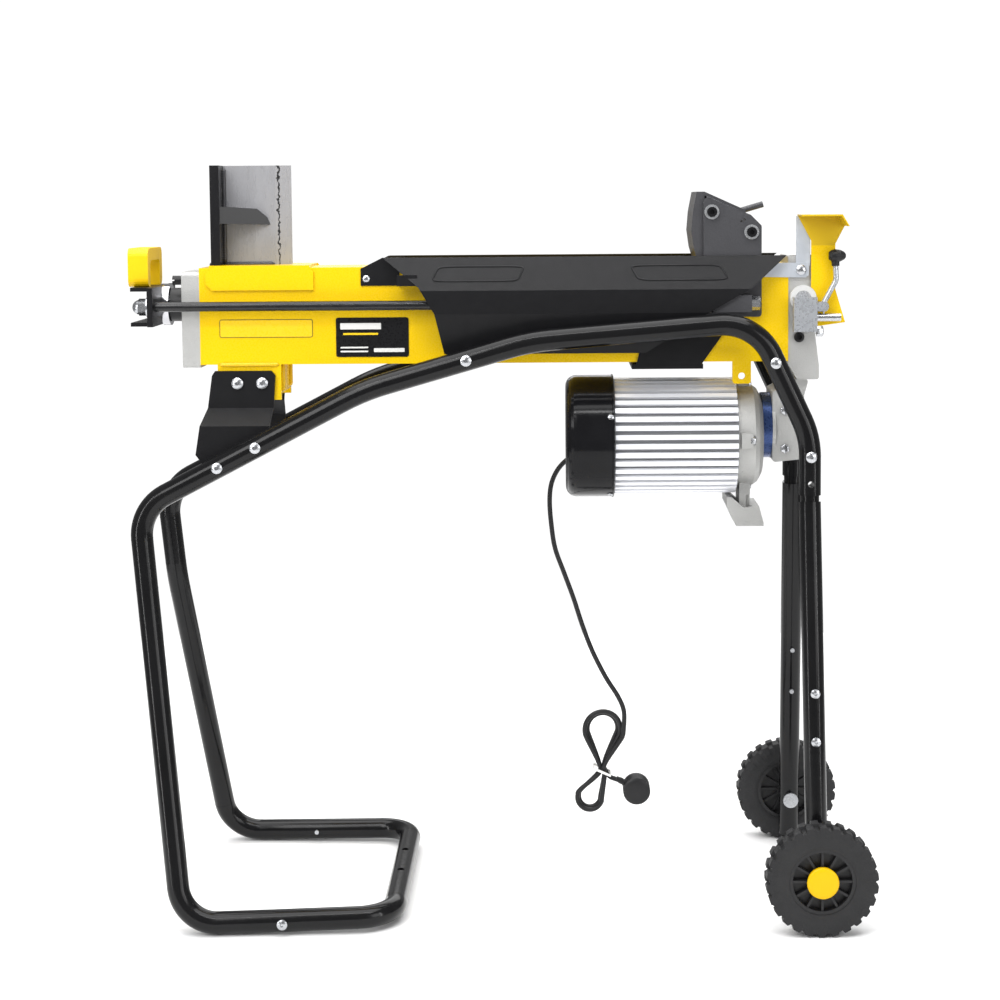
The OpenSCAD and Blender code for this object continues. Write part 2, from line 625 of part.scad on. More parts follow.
// Hanging lug with an open hole, welded under the beam above the motor
lug_hole_d = 9;
rear_lug_x = beam_x1 - 60;
rear_lug_y = -beam_y + 10;
module rear_lug() {
    color(yellow) difference() {
        plate_xz(rounded([[rear_lug_x - 12, beam_z0 - 29], [rear_lug_x + 12, beam_z0 - 29],
            [rear_lug_x + 12, beam_z0 + 8], [rear_lug_x - 12, beam_z0 + 8]], 4),
            rear_lug_y - 10, rear_lug_y - 5);
        block([rear_lug_x - 20, -beam_y, beam_z0], [rear_lug_x + 20, 0, beam_z0 + 20]);
        bar_y(-beam_y - 1, 0, lug_hole_d, rear_lug_x, beam_z0 - 19);
    }
}

// ---- Switch ----
sw_x0 = body_x0 + 25;
sw_x1 = sw_x0 + 92;
sw_y1 = motor_d / 2 + 46;
sw_z0 = motor_z - 44;
sw_z1 = motor_z + 44;
button_d = 22;
button_x = sw_x1 - 30;
module switch_box() {
    color(black) difference() {
        plate_xz(rounded([[sw_x0, sw_z0], [sw_x1, sw_z0], [sw_x1, sw_z1], [sw_x0, sw_z1]], 8), 60, sw_y1);
        plate_xz(rounded([[sw_x0 + 3, sw_z0 + 3], [sw_x1 - 3, sw_z0 + 3], [sw_x1 - 3, sw_z1 - 3],
            [sw_x0 + 3, sw_z1 - 3]], 5), motor_d / 2 + 5, sw_y1 - 3);
        bar_x(sw_x0 - 1, sw_x1 + 1, motor_d + 0.1, 0, motor_z);
        bar_y(sw_y1 - 4, sw_y1 + 1, button_d + 2 * run, button_x, motor_z + 12);
        bar_x(sw_x0 - 1, sw_x0 + 4, 12, gland_y, gland_z);
    }
}
module switch_button() {
    color([0.1, 0.5, 0.2]) bar_y(sw_y1 - 9, sw_y1 + 5, button_d, button_x, motor_z + 12);
}
module capacitor() {
    color([0.85, 0.85, 0.82]) bar_x(sw_x0 + 12, sw_x0 + 48, 30, sw_y1 - 20, motor_z + 12);
}

// ---- Stand ----
slope = 27.5;
rear_x = beam_x1 + 23;
mid_z = beam_top - 105;
frame_y = beam_y + 28 + tube_d / 2;
front_low = [beam_x0 + 14, -frame_y, mid_z - 297 * tan(slope)];
upper_route = [[front_low, 0], [[beam_x0 + 214, -frame_y, mid_z - 97 * tan(slope)], 300],
    [[beam_x0 + 426, -frame_y, mid_z - 97 * tan(slope) + 212 * tan(16)], 300],
    [[beam_x1 - 46, -frame_y, beam_top - 71], 68], [[rear_x, -frame_y, beam_top - 219], 110],
    [[rear_x, -frame_y, beam_top - 293], 0]];
leg_corner = [beam_x0 - 75, -frame_y, mid_z - 386 * tan(slope)];
knee = [beam_x0 - 64, -frame_y - 6, 402];
toe = [beam_x0 - 13, -foot_y, tube_d / 2];
foot_joint = [beam_x0 + 100, -foot_y + 4, tube_d / 2 + 2];
loop_corner = [beam_x0 + 250, -foot_y + 10, tube_d / 2 + 5];
leg_route = [[front_low, 0], [leg_corner, 58], [knee, 220], [toe, 50], [foot_joint, 0]];
rear_top = [rear_x, -frame_y, beam_top - 302];
axle_x = beam_x1 + 26;
axle_z = wheel_d / 2;
rear_end_z = 16;
rear_end = rear_top + ([axle_x, -axle_leg_y, axle_z] - rear_top) * (rear_top[2] - rear_end_z)
    / (rear_top[2] - axle_z);
spigot_d = tube_d - 2 * tube_wall - 2 * run;
// Reduced end of a tube at a, whose own run comes from b: it stands out by l
module spigot_root(a, b) {
    w = unit(a - b);
    aim(a - w * 12, w) cylinder(h = 12, d = tube_d - 2 * tube_wall + 0.6);
}
module spigot(a, b, l) {
    spigot_root(a, b);
    w = unit(a - b);
    aim(a - w * 6, w) cylinder(h = 6 + l, d = spigot_d);
}
bolt_d = 8;
frame_bolts = [[beam_x0 + 28, front_low[2] + 14 * tan(slope)], [beam_x0 + 77, front_low[2] + 63 * tan(slope)],
    [beam_x0 + 346, beam_top - 117.5], [beam_x1 - 22, beam_top - 123], [rear_x, beam_top - 243]];
module tube_holes() {
    for (b = frame_bolts) bar_y(-frame_y - tube_d, frame_y + tube_d, bolt_d + 2 * run, b[0], b[1]);
    bar_y(-frame_y - tube_d, 0, bolt_d, rear_x, beam_top - 278);
}
module both() { children(); mirror([0, 1, 0]) children(); }
module upper_tubes() {
    color(black) difference() {
        both() bent_tube(upper_route);
        tube_holes();
    }
}
module front_legs() {
    color(black) difference() {
        both() {
            bent_tube(leg_route);
            spigot(front_low, leg_corner, 68);
            spigot(foot_joint, toe, 28);
        }
        tube_holes();
        foot_holes();
    }
}
foot_bolt_x = foot_joint[0] + 14;
module foot_holes() {
    bar_y(-foot_y - 20, foot_y + 20, 6 + 2 * run, foot_bolt_x, tube_d / 2 + 2.3);
}
anchor_y = [-40, 40];
anchor_d = 9;
module foot_loop() {
    near = loop_corner;
    far = [near[0], -near[1], near[2]];
    joint_far = [foot_joint[0], -foot_joint[1], foot_joint[2]];
    color(black) difference() {
        bent_tube([[foot_joint, 0], [near, 46], [far, 46], [joint_far, 0]]);
        foot_holes();
        for (y = anchor_y) bar_z(-1, 60, anchor_d, loop_corner[0], y);
    }
}
module rear_legs() {
    color(black) difference() {
        both() {
            bent_tube([[rear_top, 0], [rear_end, 0]]);
            spigot_root(rear_top, rear_end);
            bar_z(rear_top[2] - 2, rear_top[2] + 56, spigot_d, rear_top[0], -frame_y);
        }
        tube_holes();
        bar_y(-axle_leg_y - tube_d, axle_leg_y + tube_d, axle_d + 2 * run, axle_x, axle_z);
        for (z = clamp_z) bar_y(-200, 200, 6 + 2 * run, axle_x - 1, z);
    }
}
clamp_z = [290, 230];
function leg_y(z) = frame_y + (rear_top[2] - z) / (rear_top[2] - rear_end[2]) * (-rear_end[1] - frame_y);
bracket_y = frame_y - tube_d / 2;
module front_brackets() {
    z1 = beam_z0 - 8;
    zs = [z1, beam_z0 - 56, beam_z0 - 77, beam_z0 - 128];
    ys = [beam_y, beam_y, bracket_y - bracket_t, bracket_y - bracket_t];
    color(black) both() difference() {
        intersection() {
            mirror([0, 1, 0]) plate_yz(concat([for (i = [0 : 3]) [ys[i], zs[i]]],
                [for (i = [3 : -1 : 0]) [ys[i] + bracket_t, zs[i]]]), lug_x0 - 30, lug_x1 + 10);
            plate_xz([[lug_x0 - 3, zs[0]], [lug_x0 - 7, zs[0] - 6], [lug_x0 - 13, zs[1]], [lug_x0 - 20, zs[2]],
                [lug_x0 - 26, zs[3] + 14], [lug_x0 - 17, zs[3] + 2], [lug_x0 + 70, zs[3] + 40],
                [lug_x0 + 70, zs[2]], [lug_x0 + 72, zs[1]], [lug_x0 + 75, zs[0] - 6], [lug_x0 + 70, zs[0]]], -bracket_y - 20, 0);
        }
        for (x = bracket_bolts) bar_y(-beam_y - 9, 0, 8.2, x, bracket_bolt_z);
        tube_holes();
    }
}
module stand_bolts() {
    color(zinc) both() {
        for (i = [0 : 4]) bolt_y(frame_bolts[i][0], frame_bolts[i][1], -frame_y - tube_d / 2,
            i == 2 || i == 3 ? -beam_y : -frame_y + tube_d / 2 + 5, bolt_d, 14);
        for (x = bracket_bolts) bolt_y(x, bracket_bolt_z, -beam_y - bracket_t, -beam_y + 14, bolt_d, 15);
        for (z = clamp_z) bolt_y(axle_x - 1, z, -leg_y(z) - tube_d / 2 - 0.6, -leg_y(z) + tube_d / 2 + 4, 6, 12);
        bolt_y(foot_bolt_x, tube_d / 2 + 2.3, -foot_y - 10.2, -foot_y + 22, 6, 13);
        bolt_y(strap_bolt[0], strap_bolt[1], -beam_y - strap_t, -beam_y + 20, bolt_d, 13);
        bar_y(-wheel_y1 + 6, -axle_leg_y + tube_d / 2 + 2, axle_d, axle_x, axle_z);
        bar_y(-axle_leg_y + tube_d / 2 + 2, -axle_leg_y + tube_d / 2 + 8, 21, axle_x, axle_z);
    }
}

// ---- Ram: piston, crosshead, tie rods and pusher ----
module piston_rod() {
    color(zinc) {
        bar_x(web_x + 7, beam_x1 - 40, rod_d, 0, ram_z);
        bar_x(web_x - 12, web_x + 7, 16, 0, ram_z);
    }
    color(cast) difference() {
        bar_x(web_x + 7, web_x + 17, rod_d + 24, 0, ram_z);
        bar_x(web_x + 6, web_x + 18, rod_d, 0, ram_z);
    }
}
module piston() {
    color([0.5, 0.5, 0.5]) difference() {
        bar_x(beam_x1 - 40, beam_x1 - 14, bore_d - 2 * run, 0, ram_z);
        for (x = [beam_x1 - 34, beam_x1 - 24]) difference() {
            bar_x(x, x + 4, bore_d + 1, 0, ram_z);
            bar_x(x - 1, x + 5, bore_d - 5, 0, ram_z);
        }
    }
    color(black) for (x = [beam_x1 - 34, beam_x1 - 24]) difference() {
        bar_x(x, x + 4, bore_d - 2 * run, 0, ram_z);
        bar_x(x - 1, x + 5, bore_d - 5, 0, ram_z);
    }
}
cross_h = 50;
cross_reach = 24;
cross_y = tie_y + 15;
module crosshead() {
    t = 6;
    color(black) difference() {
        union() {
            block([web_x, -cross_y, ram_z - cross_h / 2], [web_x + t + 1, cross_y, ram_z + cross_h / 2]);
            for (z = [ram_z - cross_h / 2, ram_z + cross_h / 2 - 5])
                block([web_x - cross_reach, -cross_y + 14, z], [web_x + 1, cross_y - 14, z + 5]);
        }
        for (y = [-tie_y, tie_y]) bar_x(web_x - 1, web_x + t + 2, tie_d + 0.1, y, ram_z);
        bar_x(web_x - 1, web_x + t + 2, 16.1, 0, ram_z);
    }
}
// Plastic handle that stands on the crosshead's upper flange, with room for the fingers
grip_w = 26;
grip_h = 50;
grip_y = 46;
module crosshead_grip() {
    x0 = web_x - cross_reach - 6;
    z0 = ram_z + cross_h / 2;
    color(yellow) difference() {
        plate_yz(rounded([[-grip_y, z0], [grip_y, z0], [grip_y, z0 + grip_h], [-grip_y, z0 + grip_h]], 10), x0, x0 + grip_w);
        plate_yz(rounded([[-grip_y + 15, z0 - 20], [grip_y - 15, z0 - 20], [grip_y - 15, z0 + grip_h - 16],
            [-grip_y + 15, z0 + grip_h - 16]], 8), x0 - 1, x0 + grip_w + 1);
        block([x0 - 1, -grip_y - 1, z0 - 30], [x0 + grip_w + 1, grip_y + 1, z0]);
    }
}
tie_x1 = pusher_x + 88;
module tie_rods() {
    color([0.1, 0.1, 0.1]) for (y = [-tie_y, tie_y]) bar_x(web_x - 14, tie_x1, tie_d, y, ram_z);
}
module tie_nuts() {
    color(zinc) for (y = [-tie_y, tie_y]) {
        difference() {
            union() {
                bar_x(web_x - 2.5, web_x, 26, y, ram_z);
                translate([web_x - 13, y, ram_z]) rotate([0, 90, 0]) cylinder(h = 10.5, d = 22, $fn = 6);
                intersection() {
                    translate([web_x - 12, y, ram_z]) sphere(d = 19);
                    block([web_x - 30, y - 20, ram_z - 20], [web_x - 13, y + 20, ram_z + 20]);
                }
            }
            bar_x(web_x - 14.1, web_x + 1, tie_d + 0.1, y, ram_z);
        }
        difference() {
            translate([tie_x1 - 12, y, ram_z]) rotate([0, 90, 0]) cylinder(h = 11, d = 18, $fn = 6);
            bar_x(tie_x1 - 13, tie_x1 + 1, tie_d + 0.1, y, ram_z);
        }
    }
}
// Pusher: two side plates that straddle the beam, a barrel-shaped face, a sloping top and the
// lugs that hold the tie rods
plate_in = beam_y + 1;
plate_t = 5;
pusher_top = beam_top + pusher_h;
pusher_l = 90;
module pusher() {
    x0 = pusher_x;
    top_slope = 24;
    color([0.45, 0.45, 0.48]) difference() {
        union() {
            for (s = [-1, 1]) plate_xz(rounded([[x0 + 16, ram_z - 18], [x0 + pusher_l, ram_z - 18],
                [x0 + pusher_l, pusher_top - top_slope - 20], [x0 + pusher_l - 14, pusher_top - top_slope - 6],
                [x0 + 16, pusher_top - 6]], 4), s > 0 ? plate_in : -plate_in - plate_t,
                s > 0 ? plate_in + plate_t : -plate_in);
            plate_xz([[x0 + 9, beam_top + 1], [x0 + 17, beam_top + 1], [x0 + 17, pusher_top],
                [x0 + 7, pusher_top], [x0 + 2, pusher_top - 26], [x0, pusher_top - 50],
                [x0 + 3, pusher_top - 72]], -plate_in, plate_in);
            plate_xz([[x0 + 17, pusher_top - 5], [x0 + 70, pusher_top - 5 - top_slope],
                [x0 + 70, pusher_top - top_slope], [x0 + 17, pusher_top]], -plate_in, plate_in);
            block([x0 + 40, -plate_in, beam_top + 8], [x0 + 46, plate_in, pusher_top - 20]);
            for (s = [-1, 1]) block([tie_x1 - 62, s > 0 ? plate_in + plate_t : -tie_y - 11, ram_z - 11],
                [tie_x1 - 12.2, s > 0 ? tie_y + 11 : -plate_in - plate_t, ram_z + 11]);
            // Peg that points back and up, away from the wedge
            aim([x0 + 62, -22, pusher_top - top_slope - 2], [cos(16), 0, sin(16)]) difference() {
                cylinder(h = 34, d = 8);
                translate([0, 0, 22]) cylinder(h = 13, d = 4.5);
            }
        }
        for (y = [-tie_y, tie_y]) bar_x(tie_x1 - 63, tie_x1, tie_d + 0.1, y, ram_z);
        for (b = pusher_bolt_at) bar_y(-80, 80, 8.2, b[0], b[1]);
        for (x = [x0 + 64, x0 + 68]) bar_y(-80, 80, 3, x, pusher_top - 38 + 2 * (x - x0 - 64) / 4);
    }
}
pusher_bolt_at = [[pusher_x + 26, pusher_top - 26], [pusher_x + 77, pusher_top - 52]];
module pusher_bolts() {
    color(zinc) both() for (b = pusher_bolt_at) {
        difference() {
            union() {
                bar_y(-plate_in - plate_t - 2, -plate_in - plate_t, 19, b[0], b[1]);
                bar_y(-plate_in - plate_t - 7, -plate_in - plate_t - 2, 13, b[0], b[1]);
                bar_y(-plate_in - plate_t, -plate_in + 10, 8, b[0], b[1]);
            }
            translate([b[0], -plate_in - plate_t - 3, b[1]]) rotate([90, 0, 0]) cylinder(h = 5, d = 7, $fn = 6);
        }
    }
}

// ---- Wheels ----
wheel_y0 = -rear_end[1] + tube_d / 2 + 2;
wheel_y1 = wheel_y0 + wheel_w;
lug_h = 4;
module tyre(s) {
    r = wheel_d / 2;
    bead = 0.6 * r;
    color([0.07, 0.07, 0.07]) translate([axle_x, s * (wheel_y0 + wheel_w / 2), axle_z]) rotate([90, 0, 0]) union() {
        rotate_extrude() polygon([[bead, -wheel_w / 2 + 3], [bead + 9, -wheel_w / 2], [r - lug_h - 3, -wheel_w / 2],
            [r - lug_h, -wheel_w / 2 + 4], [r - lug_h, wheel_w / 2 - 4], [r - lug_h - 3, wheel_w / 2],
            [bead + 9, wheel_w / 2], [bead, wheel_w / 2 - 3]]);
        for (i = [0 : lug_count - 1], side = [0, 1]) rotate(360 * (i + side / 2) / lug_count)
            translate([r - lug_h - 1.5, -3.6, side * wheel_w / 2 - wheel_w / 2 + 1]) cube([lug_h + 1.1, 7.2, wheel_w / 2 - 2]);
    }
}
module rim(s) {
    r = 0.6 * wheel_d / 2;
    color([0.1, 0.1, 0.1]) translate([axle_x, s * (wheel_y0 + wheel_w / 2), axle_z]) rotate([90 * s, 0, 0])
        difference() {
            union() {
                rotate_extrude() polygon([[0, -4], [r - 5, -4], [r - 5, -wheel_w / 2 + 4], [r - 0.1, -wheel_w / 2 + 4],
                    [r - 0.1, wheel_w / 2 - 4], [r - 5, wheel_w / 2 - 4], [r - 5, 2], [0, 2]]);
                cylinder(h = wheel_w - 2, d = 26, center = true);
                for (i = [0 : 11]) rotate(30 * i) translate([11, -1.5, -12]) cube([r - 15, 3, 18]);
            }
            cylinder(h = wheel_w + 9, d = axle_d + 2 * run, center = true);
        }
}
module tyre_near() { tyre(-1); }
module tyre_far() { tyre(1); }
module rim_near() { rim(-1); }
module rim_far() { rim(1); }

// ---- Mains cord ----
cord_d = 6.5;
gland_y = 100;
gland_z = motor_z - 30;
gland_x = sw_x0 - 32;
module from_gland() { translate([gland_x, gland_y, gland_z]) children(); }
module cord_gland() {
    color(black) from_gland() rotate([0, 90, 0]) difference() {
        rotate_extrude() polygon([[0, 0], [4.6, 0], [6, 12], [8.5, 16], [8.5, 26], [10.5, 26], [10.5, 31.9],
            [5.9, 31.9], [5.9, 36], [0, 36]]);
        translate([0, 0, -1]) cylinder(h = 6, d = cord_d);
    }
}
// The cord hangs from the gland into a tied hank, with its plug beside it. All of these are placed
// from the point where the gland's nose ends.
cord_route = [[4, 0, 0], [-8, 0, 0], [-22, 0, -3], [-36, 0, -9], [-50, 0, -19], [-61, 0, -33], [-68, 0, -51],
    [-70, 0, -74], [-68, 0, -104], [-63, 0, -138], [-51, 0, -172], [-38, 0, -208], [-26, 0, -246],
    [-12, 0, -283], [6, 0, -319], [23, 0, -346], [32, 0, -367], [31, 0, -383], [24, 0, -398]];
tail_route = [[0, 0, -450], [8, 0, -456], [17, 0, -461], [27, 0, -466]];
function route_point(p, i) = p[max(0, min(len(p) - 1, i))];
// Smooth curve through the points: each step blends a point with its neighbours
function curve(p, i, t) = let(a = route_point(p, i - 1), b = route_point(p, i), c = route_point(p, i + 1),
    d = route_point(p, i + 2)) 0.5 * (2 * b + (c - a) * t + (2 * a - 5 * b + 4 * c - d) * t * t
    + (3 * b - a - 3 * c + d) * t * t * t);
function samples(p, n) = [for (i = [0 : len(p) - 2], k = [0 : n - 1]) curve(p, i, k / n), p[len(p) - 1]];
module swept_cord(p, n, sides = 8) {
    c = samples(p, n);
    m = len(c);
    points = [for (i = [0 : m - 1]) let(t = unit(c[min(m - 1, i + 1)] - c[max(0, i - 1)]), u = [0, 1, 0],
        v = cross(t, u)) each [for (k = [0 : sides - 1])
        c[i] + cord_d / 2 * (u * cos(360 * k / sides) + v * sin(360 * k / sides))]];
    faces = concat([[for (k = [0 : sides - 1]) sides - 1 - k]], [[for (k = [0 : sides - 1]) (m - 1) * sides + k]],
        [for (i = [0 : m - 2], k = [0 : sides - 1]) [i * sides + k, i * sides + (k + 1) % sides,
            (i + 1) * sides + (k + 1) % sides, (i + 1) * sides + k]]);
    polyhedron(points, faces);
}
module cord() {
    color(black) from_gland() {
        swept_cord(cord_route, 3);
        swept_cord(tail_route, 2);
    }
}
hank_t = 21;
hank_mid = [3, -392];
hank_waist = [0, -450];
hank_low = [-17, -488];
module hank_round(p, r) { translate(p) circle(r = r, $fn = 32); }
module cord_hank() {
    color(black) from_gland() translate([0, hank_t / 2, 0]) rotate([90, 0, 0]) linear_extrude(hank_t) {
        hull() {
            hank_round(hank_mid, 31);
            hank_round(hank_waist, 11);
        }
        hull() {
            hank_round(hank_waist, 11);
            hank_round(hank_low, 21);
        }
    }
}
module cord_tie() {
    color("white") from_gland() translate([hank_waist[0], 0, hank_waist[1]]) rotate([0, 24, 0]) difference() {
        block([-13.5, -hank_t / 2 - 2, -1.5], [13.5, hank_t / 2 + 2, 1.5]);
        block([-12, -hank_t / 2 - 0.5, -2], [12, hank_t / 2 + 0.5, 2]);
    }
}
plug_at = [48, -477];
module plug() {
    color(black) from_gland() {
        bar_y(-15, 15, 38, plug_at[0], plug_at[1]);
        aim([plug_at[0] - 25, 0, plug_at[1] + 13], [25, 0, -13]) cylinder(h = 12, d1 = 9, d2 = 14);
        for (dx = [-9.5, 9.5]) bar_y(15, 34, 4.8, plug_at[0] + dx, plug_at[1]);
    }
}

// ---- Drawing ----
beam();
front_end_cap();
bleed_screw();
front_lugs();
side_plate();
wedge_back_plate();
wedge_blade();
wedge_saddle();
guards();
guard_fasteners();
beam_saddle();
cylinder_tube();
rod_gland();
valve_block();
valve_straps();
valve_fitting();
lever_bracket();
lever_guard();
pump_housing();
pump_ring();
motor_shield();
motor_body();
stator();
bearings();
fan_cover();
cover_screws();
rear_lug();
switch_box();
capacitor();
cord_gland();
front_brackets();
upper_tubes();
front_legs();
foot_loop();
rear_legs();
stand_bolts();
crosshead();
crosshead_grip();
tie_rods();
tie_nuts();
piston_rod();
piston();
pusher();
pusher_bolts();
control_lever();
lever_knob();
valve_spool();
switch_button();
rotor();
fan();
driven_gear();
tyre_near();
rim_near();
tyre_far();
rim_far();
cord();
cord_hank();
cord_tie();
plug();
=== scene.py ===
"""Horizontal log splitter on a tubular stand: its finishes and fine pieces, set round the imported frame.
Metres throughout. X runs along the beam from the wedge to the valve, Y across it, Z up."""
import math
import bmesh
import bpy
import numpy as np
from mathutils import Matrix, Vector


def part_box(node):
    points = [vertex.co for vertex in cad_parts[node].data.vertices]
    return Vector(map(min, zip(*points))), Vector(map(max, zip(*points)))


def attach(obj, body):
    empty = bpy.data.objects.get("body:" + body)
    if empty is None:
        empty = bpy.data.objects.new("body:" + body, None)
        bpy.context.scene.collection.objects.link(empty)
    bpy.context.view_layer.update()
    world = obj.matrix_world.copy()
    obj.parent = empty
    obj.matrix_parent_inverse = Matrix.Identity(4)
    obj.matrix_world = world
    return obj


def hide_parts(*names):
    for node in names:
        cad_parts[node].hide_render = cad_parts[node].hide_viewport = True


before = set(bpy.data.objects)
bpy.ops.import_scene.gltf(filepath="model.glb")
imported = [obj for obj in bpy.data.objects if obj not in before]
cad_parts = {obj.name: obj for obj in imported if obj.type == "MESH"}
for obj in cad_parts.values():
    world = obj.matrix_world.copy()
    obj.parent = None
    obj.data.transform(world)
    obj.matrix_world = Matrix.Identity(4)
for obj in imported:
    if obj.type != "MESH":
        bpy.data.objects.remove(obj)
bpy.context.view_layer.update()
MACHINE = "machine"

# ---- Tank beam ----
# A welded steel box section that also holds the oil. It is sprayed in bright yellow gloss, which
# lies a little uneven and picks up fine scuffs where logs slide over it.
YELLOW = (0.80, 0.52, 0.0, 1)


def add(tree, kind, links=(), **values):
    """One shader node. Values go to its settings or, where it has a socket of that name, to the socket."""
    n = tree.nodes.new("ShaderNode" + kind)
    for key, value in values.items():
        key = key.replace("_", " ") if key.replace("_", " ") in n.inputs else key
        if key in n.inputs:
            n.inputs[key].default_value = value
        else:
            setattr(n, key, value)
    for socket, source in links:
        tree.links.new(source, n.inputs[socket])
    return n


def finish(name, colour, rough, metal=0.0, drift=0.08, grain=260.0, relief=0.05, stretch=(1, 1, 1),
           clear=0.0, gloss_drift=0.08, shine=0.5, marks=None, zones=()):
    """A surface whose colour drifts over slow cloudy noise, and whose gloss and height follow fine noise.
    stretch draws the noise out along an axis, as brushing does. shine is the strength of its reflection.
    marks = (colour, share, cells per metre) adds worn specks, and each zone (mask, colour, rough) repaints
    the part where its mask is 1."""
    material = bpy.data.materials.new(name)
    material.use_nodes = True
    tree = material.node_tree
    tree.nodes.clear()
    shader = add(tree, "BsdfPrincipled", Metallic=metal, Coat_Weight=clear, Coat_Roughness=0.06,
                 Specular_IOR_Level=shine)
    out = add(tree, "OutputMaterial", [("Surface", shader.outputs[0])])
    place = add(tree, "TexCoord").outputs["Object"]
    drawn = add(tree, "Mapping", [("Vector", place)], Scale=stretch).outputs[0]
    cloud = add(tree, "TexNoise", [("Vector", drawn)], Scale=grain * 0.06, Detail=3.0).outputs["Fac"]
    fine = add(tree, "TexNoise", [("Vector", drawn)], Scale=grain, Detail=5.0).outputs["Fac"]
    lift = drift * 0.02
    darker = tuple(c * (1 - drift) for c in colour[:3]) + (1,)
    lighter = tuple(min(1.0, c * (1 + drift) + lift) for c in colour[:3]) + (1,)
    paint = add(tree, "MixRGB", [("Fac", cloud)], Color1=darker, Color2=lighter).outputs[0]
    gloss = add(tree, "MapRange", [("Value", fine)], From_Min=0.3, From_Max=0.7,
                To_Min=max(0.02, rough - gloss_drift), To_Max=min(1.0, rough + gloss_drift)).outputs[0]
    if marks:
        worn_colour, share, cells = marks
        shrink = 0.2 * (1 - share)
        speck = add(tree, "TexNoise", [("Vector", place)], Scale=cells, Detail=8.0,
                    Roughness=0.75).outputs["Fac"]
        worn = add(tree, "MapRange", [("Value", speck)], From_Min=0.5 + shrink, From_Max=0.56 + shrink).outputs[0]
        paint = add(tree, "MixRGB", [("Fac", worn), ("Color1", paint)], Color2=worn_colour).outputs[0]
    for mask, zone_colour, zone_rough in zones:
        inside = mask(tree, place)
        paint = add(tree, "MixRGB", [("Fac", inside), ("Color1", paint)], Color2=zone_colour).outputs[0]
        gloss = add(tree, "MapRange", [("Value", inside), ("To Min", gloss)], To_Max=zone_rough).outputs[0]
    tree.links.new(paint, shader.inputs["Base Color"])
    tree.links.new(gloss, shader.inputs["Roughness"])
    bumps = add(tree, "Bump", [("Height", fine)], Strength=relief, Distance=0.002)
    tree.links.new(bumps.outputs[0], shader.inputs["Normal"])
    return material


def dress(material, *nodes):
    """Gives CAD nodes a finish, in every one of their material slots."""
    for name in nodes:
        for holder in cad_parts[name].material_slots:
            holder.material = material


def piece(name, grids, material, body=MACHINE, smooth=True):
    """One mesh from grids of points, each closed round its second axis, with both its ends drawn together or
    capped. Doubles are merged at the poles, so every shell is closed, and its faces are turned outwards."""
    mesh = bpy.data.meshes.new(name)
    points, faces, start = [], [], 0
    for grid in grids:
        m, n = grid.shape[:2]
        u, v = np.meshgrid(np.arange(m - 1), np.arange(n), indexing="ij")
        w = (v + 1) % n
        quads = np.stack([u * n + v, (u + 1) * n + v, (u + 1) * n + w, u * n + w], -1).reshape(-1, 4) + start
        faces += quads.tolist()
        faces.append(list(range(start, start + n)))
        faces.append(list(range(start + (m - 1) * n, start + m * n)))
        points.append(grid.reshape(-1, 3))
        start += m * n
    mesh.from_pydata(np.concatenate(points).tolist(), [], faces)
    shape = bmesh.new()
    shape.from_mesh(mesh)
    bmesh.ops.remove_doubles(shape, verts=shape.verts, dist=2e-6)
    bmesh.ops.recalc_face_normals(shape, faces=shape.faces)
    shape.to_mesh(mesh)
    shape.free()
    if smooth:
        mesh.shade_smooth()
    mesh.materials.append(material)
    made = bpy.data.objects.new(name, mesh)
    bpy.context.scene.collection.objects.link(made)
    if smooth:
        sharp = made.modifiers.new("crease", "EDGE_SPLIT")
        sharp.split_angle = math.radians(50)
    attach(made, body)
    return made


def frame_of(direction):
    """Two unit vectors that stand square to a direction and to each other."""
    d = np.asarray(direction, float)
    d = d / np.linalg.norm(d)
    helper = np.array([0.0, 0.0, 1.0]) if abs(d[2]) < 0.9 else np.array([1.0, 0.0, 0.0])
    u = np.cross(helper, d)
    u = u / np.linalg.norm(u)
    return d, u, np.cross(d, u)


def lathe(profile, centre, axis=(0, 0, 1), turns=48, flats=0):
    """A profile of (distance along the axis, radius) carried round the axis. With flats, the radius is that
    of a polygon with so many flat sides: r / cos(angle from the middle of the nearest flat)."""
    d, u, v = frame_of(axis)
    angle = np.linspace(0, 2 * np.pi, turns, endpoint=False)
    along, radius = np.array(profile, float).T
    shape = np.ones_like(angle)
    if flats:
        shape = 1 / np.cos((angle + np.pi / flats) % (2 * np.pi / flats) - np.pi / flats)
    ring = np.cos(angle)[:, None] * u + np.sin(angle)[:, None] * v
    return (np.asarray(centre) + along[:, None, None] * d
            + radius[:, None, None] * shape[None, :, None] * ring[None])


def weld_bead(a, b, width=0.006, pitch=0.0032):
    """A weld bead from a to b: a round bar whose radius swells and shrinks in overlapping scales, and
    which tapers to a point at both ends."""
    a, b = np.asarray(a, float), np.asarray(b, float)
    d, u, v = frame_of(b - a)
    long = np.linalg.norm(b - a)
    steps = max(12, int(long / pitch * 5))
    s = np.linspace(0, long, steps)
    scale = (s / pitch) % 1.0
    taper = np.clip(np.minimum(s, long - s) / width * 1.6, 0, 1) ** 0.5
    radius = width / 2 * (0.84 + 0.16 * np.sqrt(scale)) * taper
    wander = 0.04 * width * np.sin(s / pitch * 0.9)
    angle = np.linspace(0, 2 * np.pi, 12, endpoint=False)
    ring = np.cos(angle)[:, None] * u + np.sin(angle)[:, None] * v
    return a + s[:, None, None] * d + wander[:, None, None] * u + radius[:, None, None] * ring[None]


